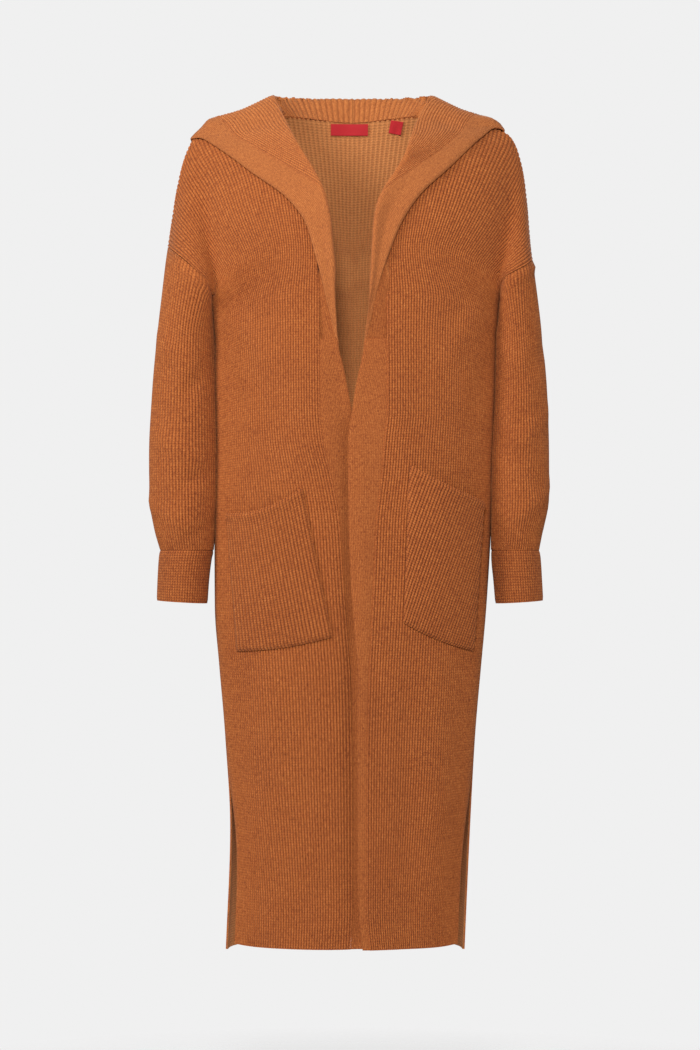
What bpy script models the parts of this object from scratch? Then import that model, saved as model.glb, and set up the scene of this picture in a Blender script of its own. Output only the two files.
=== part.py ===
# Long ribbed-knit cardigan with its hood worn down, as it hangs on a figure that isn't there.
# Metres, +Z up, the front faces -Y. The origin is at the middle of the back-neck seam's level,
# where the shoulders carry the garment. Right and left are the wearer's: right is -X.

import math

import bmesh
import bpy
import numpy as np
from mathutils import Vector
from mathutils.bvhtree import BVHTree

WALL = 0.0026  # the ribbed cloth
BAND_WALL = 0.0022  # the plain fine-knit bands
CUFF_WALL = 0.0028
LABEL_WALL = 0.0008
GAP = 0.0003  # between pieces sewn together
UNDERARM = 0.25  # distance down from the shoulder seam to the underarm
FRONT_LENGTH = 1.122  # shoulder seam to the fronts' hem
BACK_LENGTH = 1.137  # the back hangs a little lower
SLIT_TOP = {"right": 0.887, "left": 0.866}
LOBE_ANGLE = math.radians(68)  # where a level leaves the chest for the fold in front of the arm
ROUNDNESS = 0.85  # 1 is an ellipse, less is squarer
NECK_X = 0.092  # half the width of the neckline
BAND_WIDTH = 0.048  # round the hood's opening

SIGN = {"right": -1, "left": 1}
FACE = {"front": -1, "back": 1}


def table(names, *rows):
    return dict(zip(names.split(), np.array(rows, float).T))


# The body, level by level: how far down from the shoulder seam, half widths, depths, the height
# where the level leaves the chest, and how much higher it is at the neck.
BODY = table(
    "down right_x left_x front_y back_y lobe_z rise",
    (0.00, 0.2210, 0.2233, 0.000, 0.000, -0.021, 0.025),
    (0.02, 0.2185, 0.2250, 0.036, 0.030, -0.045, 0.028),
    (0.07, 0.2087, 0.2250, 0.076, 0.068, -0.105, 0.040),
    (0.12, 0.2040, 0.2190, 0.096, 0.094, -0.160, 0.045),
    (0.17, 0.1980, 0.2130, 0.108, 0.107, -0.210, 0.045),
    (0.25, 0.1890, 0.2000, 0.117, 0.112, -0.275, 0.030),
    (0.35, 0.1860, 0.1950, 0.120, 0.112, -0.360, 0.016),
    (0.45, 0.1845, 0.1920, 0.122, 0.110, -0.452, 0.008),
    (0.58, 0.1862, 0.1875, 0.125, 0.117, -0.575, 0.000),
    (0.67, 0.1858, 0.1820, 0.127, 0.124, -0.665, 0.000),
    (0.75, 0.1798, 0.1750, 0.126, 0.128, -0.745, 0.000),
    (0.85, 0.1715, 0.1665, 0.123, 0.127, -0.845, 0.000),
    (0.97, 0.1650, 0.1600, 0.121, 0.124, -0.965, 0.000),
    (1.14, 0.1712, 0.1525, 0.121, 0.122, -1.135, 0.000),
)

# The drop-shoulder armhole from the outer arm, round its front, to the underarm, and the
# direction in which the levels reach it.
ARMHOLE = table(
    "down right_x left_x y right_z left_z lead_x lead_y lead_z",
    (0.00, 0.2502, 0.2448, 0.000, -0.1756, -0.1919, 0.020, 0.000, -0.100),
    (0.04, 0.2410, 0.2425, 0.040, -0.1850, -0.1975, 0.020, 0.000, -0.085),
    (0.08, 0.2250, 0.2330, 0.062, -0.1985, -0.2060, 0.015, 0.000, -0.060),
    (0.12, 0.2060, 0.2170, 0.069, -0.2160, -0.2150, 0.010, 0.005, -0.045),
    (0.16, 0.1920, 0.2040, 0.062, -0.2310, -0.2230, 0.005, 0.000, -0.030),
    (0.20, 0.1880, 0.1990, 0.040, -0.2480, -0.2360, 0.000, -0.030, -0.010),
    (0.25, 0.1890, 0.2000, 0.000, -0.2660, -0.2540, 0.000, -0.056, 0.000),
)

# The shoulder seam's shape: share of the way out to the shoulder's tip, and share of its rise.
RIDGE = table(
    "share rise",
    (0.00, 0.80),
    (0.22, 0.90),
    (0.45, 1.00),
    (0.63, 0.88),
    (0.76, 0.68),
    (0.90, 0.34),
    (1.00, 0.00),
)
RIDGE_BACK = 0.055  # the back neck lies this far behind the shoulders' line
RIDGE_SPAN = 0.150

# The right front's inner edge hides under the left one, which laps over it; where the plain
# band stops; and, above the lapel's foot, the neckline that the hood is sewn to.
FOOT = 0.320  # the level of the lapels' foot, where the front bands start
EDGES = table(
    "drop right_edge left_edge right_band left_band",
    (0.3175, 0.0185, 0.0160, 0.0440, 0.0470),
    (0.3400, 0.0125, 0.0118, 0.0437, 0.0475),
    (0.3700, 0.0065, 0.0050, 0.0435, 0.0475),
    (0.4046, 0.0000, 0.0000, 0.0430, 0.0475),
    (0.4400, -0.0070, -0.0045, 0.0400, 0.0440),
    (0.4900, -0.0090, -0.0052, 0.0280, 0.0400),
    (0.5500, -0.0100, -0.0045, 0.0170, 0.0330),
    (0.6200, -0.0100, -0.0020, 0.0120, 0.0300),
    (0.7000, -0.0140, 0.0035, 0.0060, 0.0260),
    (0.7600, -0.0180, 0.0078, 0.0020, 0.0230),
    (0.9000, -0.0190, 0.0080, 0.0000, 0.0200),
    (1.0600, -0.0190, 0.0085, 0.0000, 0.0200),
    (1.1350, -0.0120, 0.0160, 0.0030, 0.0260),
)
LAP_DEPTH = 0.0050  # the right front's edge lies this far behind the left one
LAP_REACH = 0.055

# The fold of each lapel, from its foot to the neck's side, then along the top of the stand, with
# the edge that it spreads to on the shoulder, and the place of the seam below it.
LAPEL = {
    "right": table(
        "step roll_x roll_y roll_z edge_x edge_z seam",
        (0, 0.0178, 0.1190, -0.3172, 0.0200, -0.3180, 0.026),
        (1, 0.0215, 0.1220, -0.2500, 0.0363, -0.2500, 0.022),
        (2, 0.0240, 0.1190, -0.1900, 0.0501, -0.1910, 0.023),
        (3, 0.0268, 0.1140, -0.1500, 0.0634, -0.1525, 0.027),
        (4, 0.0390, 0.0990, -0.1040, 0.0880, -0.1192, 0.030),
        (5, 0.0560, 0.0820, -0.0700, 0.1310, -0.0860, 0.029),
        (6, 0.0740, 0.0600, -0.0400, 0.1795, -0.0473, 0.022),
        (7, 0.0890, 0.0270, -0.0100, 0.2080, -0.0290, 0.010),
        (8, 0.1060, -0.0150, 0.0290, 0.2200, -0.0300, 0.000),
    ),
    "left": table(
        "step roll_x roll_y roll_z edge_x edge_z seam",
        (0, 0.0153, 0.1190, -0.3172, 0.0175, -0.3180, 0.0310),
        (1, 0.0224, 0.1220, -0.2450, 0.0356, -0.2450, 0.024),
        (2, 0.0251, 0.1190, -0.1910, 0.0515, -0.1920, 0.023),
        (3, 0.0284, 0.1140, -0.1453, 0.0661, -0.1545, 0.027),
        (4, 0.0423, 0.0990, -0.1064, 0.0914, -0.1152, 0.030),
        (5, 0.0583, 0.0840, -0.0800, 0.1289, -0.0787, 0.029),
        (6, 0.0733, 0.0650, -0.0500, 0.1755, -0.0310, 0.022),
        (7, 0.0840, 0.0320, -0.0180, 0.1950, -0.0150, 0.010),
        (8, 0.1055, -0.0150, 0.0290, 0.2085, -0.0185, 0.000),
    ),
}


def curve_through(xs, ys, at):
    """A smooth curve through the points that never overshoots them."""
    wide = np.diff(xs)
    slope = np.diff(ys) / wide
    bend = np.concatenate([slope[:1], np.zeros(len(xs) - 2), slope[-1:]])
    both = slope[:-1] * slope[1:]
    turn = both > 0
    bend[1:-1][turn] = 2 * both[turn] / (slope[:-1] + slope[1:])[turn]
    at = np.clip(at, xs[0], xs[-1])
    i = np.clip(np.searchsorted(xs, at) - 1, 0, len(wide) - 1)
    u = (at - xs[i]) / wide[i]
    return (
        ys[i] * (1 + 2 * u) * (1 - u) ** 2
        + ys[i + 1] * u**2 * (3 - 2 * u)
        + wide[i] * u * (1 - u) * (bend[i] * (1 - u) - bend[i + 1] * u)
    )


def read(rows, column, at):
    key = next(iter(rows))
    return curve_through(rows[key], rows[column], np.asarray(at, float))


def ease(share):
    share = np.clip(share, 0, 1)
    return share * share * (3 - 2 * share)


def along(points, shares):
    """Points at shares of the way along a line of points."""
    steps = np.linalg.norm(np.diff(points, axis=0), axis=1)
    run = np.concatenate([[0], np.cumsum(steps)])
    return np.stack([np.interp(np.asarray(shares) * run[-1], run, points[:, k]) for k in range(3)], axis=1)


def armhole_point(side, face, down):
    y = FACE[face] * read(ARMHOLE, "y", down)
    return np.array([read(ARMHOLE, side + "_x", down), y, read(ARMHOLE, side + "_z", down)])


def level(side, face, down):
    """One level of the body from the centre out to the armhole or the side, as close points."""
    half, depth = read(BODY, side + "_x", down), read(BODY, face + "_y", down)
    angles = np.linspace(0, LOBE_ANGLE, 40)
    x = half * np.sin(angles)
    share = x / x[-1]
    ridge = RIDGE_BACK * np.clip(1 - (x / RIDGE_SPAN) ** 2, 0, 1) ** 1.5
    y = FACE[face] * depth * np.cos(angles) ** ROUNDNESS + ridge * np.clip(1 - depth / 0.09, 0, 1) ** 1.3
    z = read(BODY, "lobe_z", down) + read(BODY, "rise", down) * read(RIDGE, "rise", share)
    chest = np.stack([x, y, z], axis=1)
    if down < UNDERARM:
        end = armhole_point(side, face, down)
        lead = np.array([read(ARMHOLE, "lead_" + k, down) for k in "xyz"])
        lead[1] *= FACE[face]
    else:
        low = ease((down - UNDERARM) / 0.10)
        underarm = read(ARMHOLE, side + "_z", UNDERARM)
        lobe = chest[-1, 2]
        start = underarm - (down - UNDERARM)
        end = np.array([half, 0.0, start + (lobe - start) * low])
        lead = np.array([0, -0.056 * FACE[face], 0])
        slit = ease((down - SLIT_TOP[side]) / (FRONT_LENGTH - SLIT_TOP[side]))
        if face == "front":
            end += np.array([-0.019, -0.028, 0]) * slit
        else:
            end += np.array([0, 0.004, 0]) * slit
    chord = np.linalg.norm(end - chest[-1])
    leave = chest[-1] - chest[-2]
    leave *= chord * (0.62 + 0.38 * ease(down / UNDERARM)) / np.linalg.norm(leave)
    u = np.linspace(0, 1, 30)[1:, None]
    arm = (
        chest[-1] * (1 + 2 * u) * (1 - u) ** 2
        + leave * u * (1 - u) ** 2
        + end * u**2 * (3 - 2 * u)
        - lead * u**2 * (1 - u)
    )
    return np.concatenate([chest, arm])


def on_side(side, points):
    return points * np.array([SIGN[side], 1, 1])


def inner_limit(side, points, column):
    """The share along a level where it crosses one of the front's lines."""
    drop = -points[:, 2]
    if column == "neck":
        wanted = neck_x(side, points[:, 2])
    else:
        wanted = read(EDGES, f"{side}_{column}", drop)
    ahead = points[:, 0] - wanted
    run = np.concatenate([[0], np.cumsum(np.linalg.norm(np.diff(points, axis=0), axis=1))])
    if ahead[0] > 0:  # the line is past the centre, on the other side
        return -ahead[0] / run[-1]
    i = int(np.argmax(ahead > 0)) - 1
    part = -ahead[i] / (ahead[i + 1] - ahead[i])
    return (run[i] + part * (run[i + 1] - run[i])) / run[-1]


def neck_x(side, z):
    lapel = LAPEL[side]
    roll = curve_through(lapel["roll_z"][:8], lapel["roll_x"][:8], z)
    shift = curve_through(lapel["roll_z"][:8], lapel["seam"][:8], z)
    top = curve_through(np.array([-0.06, 0.004]), np.array([0.0, 1.0]), z)
    return (roll + shift) * (1 - top) + NECK_X * top


def front_level(side, down, from_line, to_line, columns):
    """Points across a front between two of its lines; a share below 0 is past the centre."""
    points = level(side, "front", down)
    length = np.linalg.norm(np.diff(points, axis=0), axis=1).sum()
    start, end = [inner_limit(side, points, line) if line != "side" else 1.0 for line in (from_line, to_line)]
    half_gap = GAP / 2 / length
    shares = np.linspace(start + half_gap, end - half_gap, columns)
    placed = along(points, np.clip(shares, 0, 1))
    placed[:, 0] += np.minimum(shares, 0) * length
    if side == "right":
        placed[:, 1] += LAP_DEPTH * ease(1 - placed[:, 0] / LAP_REACH)
    return on_side(side, placed)


def normals_of(grid, closed=False):
    """Unit normals of a grid of points; closed where its columns run round a tube."""
    if closed:
        across = np.roll(grid, -1, axis=1) - np.roll(grid, 1, axis=1)
    else:
        across = np.gradient(grid, axis=1)
    down = np.gradient(grid, axis=0)
    found = np.cross(across, down)
    return found / np.linalg.norm(found, axis=2, keepdims=True)


def body_normals(grid, flip):
    """Normals of a body panel: its walls at the shoulder and side seams lie in the seams' planes."""
    normals = normals_of(grid) * (-1 if flip else 1)
    ridge = np.gradient(grid[0], axis=0)
    across = np.cross(ridge, (0, 1, 0))
    normals[0] = across * np.sign(across[:, 2:] * 0.5 + across[:, :1] * np.sign(grid[0, :, :1]))
    for edge in (0, -1):
        if abs(grid[-1, edge, 0]) > 0.1:
            normals[len(SHOULDER_LEVELS) - 1:, edge, 1] = 0
    return normals / np.linalg.norm(normals, axis=2, keepdims=True)


def shell(name, grid, wall, colour, closed=False, flip=False, normals=None):
    """A sheet with a wall: the grid's points and the same points moved in along their normals."""
    if normals is None:
        normals = normals_of(grid, closed) * (-1 if flip else 1)
    inner = grid - normals * wall
    rows, columns = grid.shape[:2]
    mesh = bpy.data.meshes.new(name)
    work = bmesh.new()
    outside = [[work.verts.new(point) for point in row] for row in grid]
    inside = [[work.verts.new(point) for point in row] for row in inner]
    wraps = range(columns if closed else columns - 1)
    for i in range(rows - 1):
        for j in wraps:
            k = (j + 1) % columns
            work.faces.new((outside[i][j], outside[i + 1][j], outside[i + 1][k], outside[i][k]))
            work.faces.new((inside[i][j], inside[i][k], inside[i + 1][k], inside[i + 1][j]))
    for j in wraps:
        k = (j + 1) % columns
        work.faces.new((outside[0][k], inside[0][k], inside[0][j], outside[0][j]))
        work.faces.new((outside[-1][j], inside[-1][j], inside[-1][k], outside[-1][k]))
    if not closed:
        for i in range(rows - 1):
            work.faces.new((outside[i][0], inside[i][0], inside[i + 1][0], outside[i + 1][0]))
            work.faces.new((outside[i + 1][-1], inside[i + 1][-1], inside[i][-1], outside[i][-1]))
    bmesh.ops.recalc_face_normals(work, faces=work.faces)
    work.to_mesh(mesh)
    work.free()
    piece = bpy.data.objects.new(name, mesh)
    bpy.context.collection.objects.link(piece)
    mesh.materials.append(finish(name, colour))
    return piece


def finish(name, colour):
    material = bpy.data.materials.new(name)
    material.use_nodes = True
    shader = material.node_tree.nodes["Principled BSDF"]
    shader.inputs["Base Color"].default_value = (*colour, 1)
    shader.inputs["Roughness"].default_value = 0.95
    shader.inputs["Metallic"].default_value = 0
    return material


RIB_COLOUR = (0.46, 0.16, 0.045)
PLAIN_COLOUR = (0.52, 0.20, 0.060)
LABEL_COLOUR = (0.55, 0.01, 0.015)


SHOULDER_LEVELS = (0.0, 0.010, 0.026, 0.050, 0.080, 0.112, 0.144, 0.176, 0.212, UNDERARM)
LOWER_LEVELS = 12  # from the lapels' foot to the hem
FRONT_COLUMNS = 10


def levels_down(length):
    """Levels that stand closer together over the shoulder, where the cloth turns."""
    lower = np.concatenate([[0.285], np.linspace(FOOT + GAP, length, LOWER_LEVELS)])
    return np.concatenate([SHOULDER_LEVELS, lower]) + GAP / 2


def front_at(side, x, z, face="front"):
    """The point of the body's outside that stands at x and z, as seen from the front."""
    down = max(-z, 0.0)
    for _ in range(8):
        points = level(side, face, down)
        reach = np.maximum.accumulate(points[:, 0]) + np.arange(len(points)) * 1e-9
        found = np.array([np.interp(x, reach, points[:, k]) for k in range(3)])
        down = float(np.clip(down + found[2] - z, 0.0, BACK_LENGTH))
    return np.array([x, found[1], z])


def build_fronts():
    fronts = []
    for side in SIGN:
        grid = []
        for down in levels_down(FRONT_LENGTH):
            line = "band" if down > FOOT else "neck"
            grid.append(front_level(side, down, line, "side", FRONT_COLUMNS))
        grid, flip = np.array(grid), side == "left"
        normals = body_normals(grid, flip)
        shell(side + "_front", grid, WALL, RIB_COLOUR, normals=normals)
        fronts.append((grid, flip, normals))
    return fronts


def build_bands(fronts):
    for side, (_, flip, beside) in zip(SIGN, fronts):
        levels = levels_down(FRONT_LENGTH)[-LOWER_LEVELS:]
        grid = np.array([front_level(side, down, "edge", "band", 4) for down in levels])
        normals = normals_of(grid) * (-1 if flip else 1)
        normals[:, -1] = beside[-LOWER_LEVELS:, 0]
        shell(side + "_front_band", grid, BAND_WALL, PLAIN_COLOUR, normals=normals)


def build_back():
    """One panel from side to side, with the fronts' own columns beyond the neck."""
    grid = []
    neck = {side: inner_limit(side, level(side, "front", GAP / 2), "neck") for side in SIGN}
    for down in levels_down(BACK_LENGTH):
        halves = []
        for side in SIGN:
            points = level(side, "back", down)
            length = np.linalg.norm(np.diff(points, axis=0), axis=1).sum()
            outer = np.linspace(neck[side], 1 - GAP / 2 / length, FRONT_COLUMNS)
            shares = np.concatenate([np.linspace(0, neck[side], 4)[:-1], outer])
            halves.append(on_side(side, along(points, shares)))
        grid.append(np.concatenate([halves[0][:0:-1], halves[1]]))
    grid = np.array(grid)
    normals = body_normals(grid, False)
    shell("back", grid, WALL, RIB_COLOUR, normals=normals)
    return [(grid, False, normals)]


# The sleeves: centre, half width and half depth of each ring, and how much its outer side
# stands higher than its middle.
SLEEVE = table(
    "drop right_x left_x right_wide left_wide y deep tilt",
    (0.300, 0.2265, 0.2270, 0.0360, 0.0290, 0.002, 0.066, 0.018),
    (0.380, 0.2300, 0.2310, 0.0410, 0.0335, 0.001, 0.065, 0.006),
    (0.460, 0.2310, 0.2300, 0.0440, 0.0370, -0.003, 0.062, 0.000),
    (0.520, 0.2300, 0.2290, 0.0438, 0.0375, -0.008, 0.058, 0.000),
    (0.560, 0.2265, 0.2240, 0.0410, 0.0350, -0.012, 0.052, 0.000),
    (0.5875, 0.2235, 0.2210, 0.0365, 0.0325, -0.014, 0.044, 0.000),
)
CUFF = table(
    "drop right_x left_x right_wide left_wide y deep tilt",
    (0.5887, 0.2235, 0.2210, 0.0365, 0.0325, -0.014, 0.044, 0.000),
    (0.6000, 0.2258, 0.2222, 0.0355, 0.0330, -0.015, 0.043, 0.000),
    (0.6300, 0.2285, 0.2245, 0.0345, 0.0325, -0.016, 0.042, 0.001),
    (0.6590, 0.2300, 0.2265, 0.0340, 0.0320, -0.017, 0.041, 0.002),
)
SLEEVE_START = 0.0010  # of the sleeve's own length from the armhole
SLEEVE_CLEARANCE = 0.0016  # between a sleeve and the body that it lies against


def loop_angles(side):
    """The armhole's points as angles round the sleeve: 0 outside, 90 degrees in front."""
    points = np.array([armhole_point(side, "front", down) for down in SHOULDER_LEVELS])
    run = np.concatenate([[0], np.cumsum(np.linalg.norm(np.diff(points, axis=0), axis=1))])
    front = math.pi * run / run[-1]
    return np.concatenate([front, 2 * math.pi - front[-2:0:-1]])


def ring(rows, side, index, angles):
    get = lambda column: rows[column][index]
    x = get(side + "_x") + get(side + "_wide") * np.cos(angles)
    y = get("y") - get("deep") * np.sin(angles)
    z = -get("drop") + get("tilt") * np.cos(angles)
    return np.stack([x, y, z], axis=1)


def outside_of(sheets):
    """A tree of the sheets' outer faces; each sheet is its grid, its flip and its normals."""
    points, faces = [], []
    for grid, flip, _ in sheets:
        rows, columns = grid.shape[:2]
        first = len(points)
        points += [Vector(point) for point in grid.reshape(-1, 3)]
        for i in range(rows - 1):
            for j in range(columns - 1):
                face = [first + i * columns + j, first + i * columns + j + 1]
                face += [face[1] + columns, face[0] + columns]
                faces.append(face[::-1] if flip else face)
    return BVHTree.FromPolygons(points, faces)


def moved_out(points, tree, clearance):
    """The points, with those that lie under or too near the tree's faces moved out of them."""
    out = points.copy()
    for point in out.reshape(-1, 3):
        near, normal, _, _ = tree.find_nearest(Vector(point))
        height = (Vector(point) - near).dot(normal)
        if height < clearance:
            point += np.array(normal) * (clearance - height)
    return out


def armhole_normals(side, sheets):
    """The panels' normals round the armhole, so that the sleeve's wall meets theirs."""
    front = sheets[0 if side == "right" else 1][2][: len(SHOULDER_LEVELS), -1]
    back = sheets[2][2][: len(SHOULDER_LEVELS), 0 if side == "right" else -1]
    return np.concatenate([front, back[-2:0:-1]])


def build_sleeves(sheets):
    body = outside_of(sheets)
    for side in SIGN:
        angles = loop_angles(side)
        fronts = [armhole_point(side, "front", down) for down in SHOULDER_LEVELS]
        backs = [armhole_point(side, "back", down) for down in SHOULDER_LEVELS[-2:0:-1]]
        rings = [np.array(fronts + backs)]
        rings += [ring(SLEEVE, side, i, angles) for i in range(len(SLEEVE["drop"]))]
        rings = np.array(rings)
        run = np.cumsum(np.concatenate([[0], np.linalg.norm(np.diff(rings.mean(axis=1), axis=0), axis=1)]))
        start = SLEEVE_START
        grid = np.array([
            [[curve_through(run, rings[:, j, k], at) for k in range(3)] for j in range(len(angles))]
            for at in np.linspace(start, run[-1], 11)
        ])
        flip = side == "right"
        grid = on_side(side, grid)
        grid[1:] = moved_out(grid[1:], body, SLEEVE_CLEARANCE)
        normals = normals_of(grid, closed=True) * (-1 if flip else 1)
        normals[0] = armhole_normals(side, sheets)
        shell(side + "_sleeve", grid, WALL, RIB_COLOUR, closed=True, normals=normals)
        cuff = np.array([ring(CUFF, side, i, angles) for i in range(len(CUFF["drop"]))])
        shell(side + "_cuff", on_side(side, cuff), CUFF_WALL, RIB_COLOUR, closed=True, flip=flip)


# The hood, station by station from a lapel's foot (0) to the neck's side (8), both in LAPEL, and
# on to the middle of the back (12): its seam, the top of the stand, the part that lies on the
# shoulder or close to the back, the bag's bottom with half its thickness, and the rim.
SEAM_X = table("step x", (8, 0.0880), (9, 0.079), (10, 0.058), (11, 0.030), (12, 0.0))
STAND = table(
    "step x y z",
    (8, 0.1055, 0.0150, 0.0290),
    (9, 0.0960, 0.0420, 0.0335),
    (10, 0.0700, 0.0590, 0.0355),
    (11, 0.0360, 0.0660, 0.0350),
    (12, 0.0000, 0.0680, 0.0345),
)
LIE = table(
    "step x y z",
    (8, 0.1530, 0.0080, 0.0105),
    (9, 0.1420, 0.0560, -0.0080),
    (10, 0.1080, 0.0900, -0.0620),
    (11, 0.0580, 0.1060, -0.1000),
    (12, 0.0000, 0.1090, -0.1150),
)
BAG = table(
    "step x y z half",
    (8, 0.1950, 0.0050, -0.0020, 0.000),
    (9, 0.1830, 0.0820, -0.0850, 0.005),
    (10, 0.1430, 0.1220, -0.1930, 0.008),
    (11, 0.0780, 0.1370, -0.2720, 0.010),
    (12, 0.0000, 0.1400, -0.3000, 0.010),
)
RIM = table(
    "step x y z",
    (8, 0.2200, 0.0000, -0.0300),
    (9, 0.2130, 0.0560, -0.0560),
    (10, 0.1680, 0.1160, -0.0940),
    (11, 0.0920, 0.1460, -0.1270),
    (12, 0.0000, 0.1540, -0.1400),
)
FOLD = 0.0045  # half the thickness of the fold where the hood turns over
LIE_LIFT = 0.0065  # of the lapel's face above the front
EDGE_LIFT = 0.0045
LAST_KNOT = 9
HOOD_BAND_GAP = 0.0045  # as above, round the fold
HOOD_GAP = 0.0014  # more where the neckline bends between the facets


def spot(rows, step):
    found = [column[list(rows["step"]).index(step)] for name, column in rows.items() if name in ("x", "y", "z")]
    return np.array(found)


def unit(vector):
    return vector / np.linalg.norm(vector)


def on_front(side, x, z, lift):
    return front_at(side, x, z) + np.array([0, -lift, 0])


def neck_seam(side, z):
    """Where the hood's visible face starts at the front's neckline, and the front's normal there."""
    place = front_at(side, neck_x(side, z), z)
    across = front_at(side, neck_x(side, z) + 0.004, z) - place
    up = front_at(side, neck_x(side, z + 0.004), z + 0.004) - front_at(side, neck_x(side, z - 0.004), z - 0.004)
    normal = unit(np.cross(across, up))
    inward = unit(np.cross(normal, up))
    inward *= -np.sign(inward[0])
    return place - normal * WALL + inward * HOOD_GAP * (1 + ease(1 + z / 0.04)), normal


def lapel_knots(side, step):
    """The hood's section over the front as ten knots, from the seam round the fold to the rim."""
    rows = LAPEL[side]
    x, z = rows["roll_x"][step], rows["roll_z"][step]
    roll = np.array([x, -rows["roll_y"][step], z])
    seam = neck_seam(side, z)[0]
    edge_x, edge_z = rows["edge_x"][step], rows["edge_z"][step]
    outward = [on_front(side, x + (edge_x - x) * share, z + (edge_z - z) * share, LIE_LIFT) for share in (0.5, 0.65, 0.8, 0.9)]
    rim = on_front(side, edge_x, edge_z, EDGE_LIFT)
    lean = ease((step - 5) / 3)
    apart = unit(np.array([0.8 * lean, -1 + 0.9 * lean, 0.6 * lean]))
    return turned(seam, roll, outward[0], apart) + outward[1:] + [rim]


def back_knots(step):
    lie, bottom, rim = spot(LIE, step), spot(BAG, step), spot(RIM, step)
    half = BAG["half"][step - 8]
    ridge = level("right", "back", 0.0)
    x = spot(SEAM_X, step)[0]
    seam = np.array([x] + [np.interp(x, ridge[:, 0], ridge[:, k]) for k in (1, 2)]) + np.array([0, 0.0005, 0.0021])
    roll = spot(STAND, step)
    outward = unit(np.array([roll[0], roll[1], 0]))
    if half == 0:
        ends = [(lie + bottom) / 2, bottom, (bottom + rim) / 2]
    else:
        away = unit(np.array([0.6 * bottom[0], bottom[1], 0])) * half
        up = np.array([0, 0, 1.6 * half])
        ends = [bottom - away + up, bottom, bottom + away + up]
    return turned(seam, roll, lie, outward) + ends + [rim]


def turned(seam, roll, lie, hint):
    """Six knots from the seam round the fold to where the hood lies."""
    inside = unit(lie - roll)
    apart = unit(hint - inside * hint.dot(inside)) * FOLD
    near, far = roll + inside * 0.7 * FOLD - apart, roll + inside * 0.7 * FOLD + apart
    return [seam, (seam + near) / 2, near, roll, far, lie]


def hood_sections(steps):
    """The hood's close sections at the given steps: right foot, round the back, left foot."""
    knots = {}
    for side in SIGN:
        stations = [lapel_knots(side, step) for step in range(8)] + [back_knots(step) for step in range(8, 13)]
        knots[side] = np.array(stations)
    knots["left"][8:10, -1] += (np.array([-0.0115, 0, 0.0115]), np.array([-0.008, 0, 0.006]))
    sections, seam_normals = [], []
    index = np.arange(LAST_KNOT + 1)
    for side, run in (("right", steps), ("left", steps[-2::-1])):
        for step in run:
            station = [
                [curve_through(np.arange(13), knots[side][:, i, k], step) for k in range(3)] for i in index
            ]
            normal = None
            if step < 8:
                station[0], normal = neck_seam(side, station[0][2])
                normal = -on_side(side, normal)
            seam_normals.append(normal)
            close = np.linspace(0, LAST_KNOT, 10 * LAST_KNOT + 1)
            section = np.stack([curve_through(index, np.array(station)[:, k], close) for k in range(3)], axis=1)
            sections.append(on_side(side, section))
    return np.array(sections), seam_normals


def build_hood(sheets):
    body = outside_of(sheets)
    sections, seam_normals = hood_sections(np.linspace(0.025, 12, HOOD_STEPS))
    laid = 10 * 4
    sections[:, laid:] = moved_out(sections[:, laid:], body, WALL + 0.0012)
    normals = -normals_of(sections)
    normals[1:-1] = (normals[:-2] + 2 * normals[1:-1] + normals[2:]) / 4  # less twist in the walls
    normals /= np.linalg.norm(normals, axis=2, keepdims=True)
    knot = np.linspace(0, LAST_KNOT, sections.shape[1])
    hood, band = [], []
    for section, normal, seam_normal in zip(sections, normals, seam_normals):
        if seam_normal is not None:
            normal[0] = seam_normal
        to_rim = np.cumsum(np.linalg.norm(np.diff(section[::-1], axis=0), axis=1))
        both = np.concatenate([section, normal], axis=1)
        start = 0.0
        if to_rim[-1] > BAND_WIDTH + 0.012:
            start, stop = np.interp([BAND_WIDTH, BAND_WIDTH + HOOD_BAND_GAP], to_rim, knot[-2::-1])
            hood.append(picked(both, knot, np.linspace(0, stop, HOOD_ROWS)))
        band.append(picked(both, knot, np.linspace(start, LAST_KNOT, HOOD_BAND_ROWS)))
    for name, rows, wall, colour in (("hood", hood, WALL, RIB_COLOUR), ("hood_band", band, BAND_WALL, PLAIN_COLOUR)):
        rows = np.array(rows).transpose(1, 0, 2)
        shell(name, rows[..., :3], wall, colour, normals=rows[..., 3:])


def picked(values, knot, at):
    return np.stack([np.interp(at, knot, values[:, k]) for k in range(values.shape[1])], axis=1)


HOOD_STEPS, HOOD_ROWS, HOOD_BAND_ROWS = 19, 12, 6

# Pockets: corners as seen from the front, the sag of the mouth, and how far it gapes.
POCKET = {
    "right": {"top_out": (0.1655, -0.5390), "top_in": (0.0648, -0.5061), "low_in": (0.0264, -0.7030),
              "low_out": (0.1525, -0.7235), "sag": 0.012},
    "left": {"top_out": (0.1743, -0.5242), "top_in": (0.0753, -0.4758), "low_in": (0.0674, -0.6844),
             "low_out": (0.1610, -0.7235), "sag": 0.004},
}
GAPE = 0.0085
POCKET_ROWS, POCKET_COLUMNS = 8, 8


def pocket_point(side, across, down):
    """A pocket's place seen from the front; across runs from the inner edge outwards."""
    corner = {name: np.array(place) for name, place in POCKET[side].items() if name != "sag"}
    top = corner["top_in"] * (1 - across) + corner["top_out"] * across
    low = corner["low_in"] * (1 - across) + corner["low_out"] * across
    sag = math.sin(math.pi * across)
    top[1] -= POCKET[side]["sag"] * sag
    low[1] -= 0.004 * sag
    return top * (1 - down) + low * down


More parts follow.
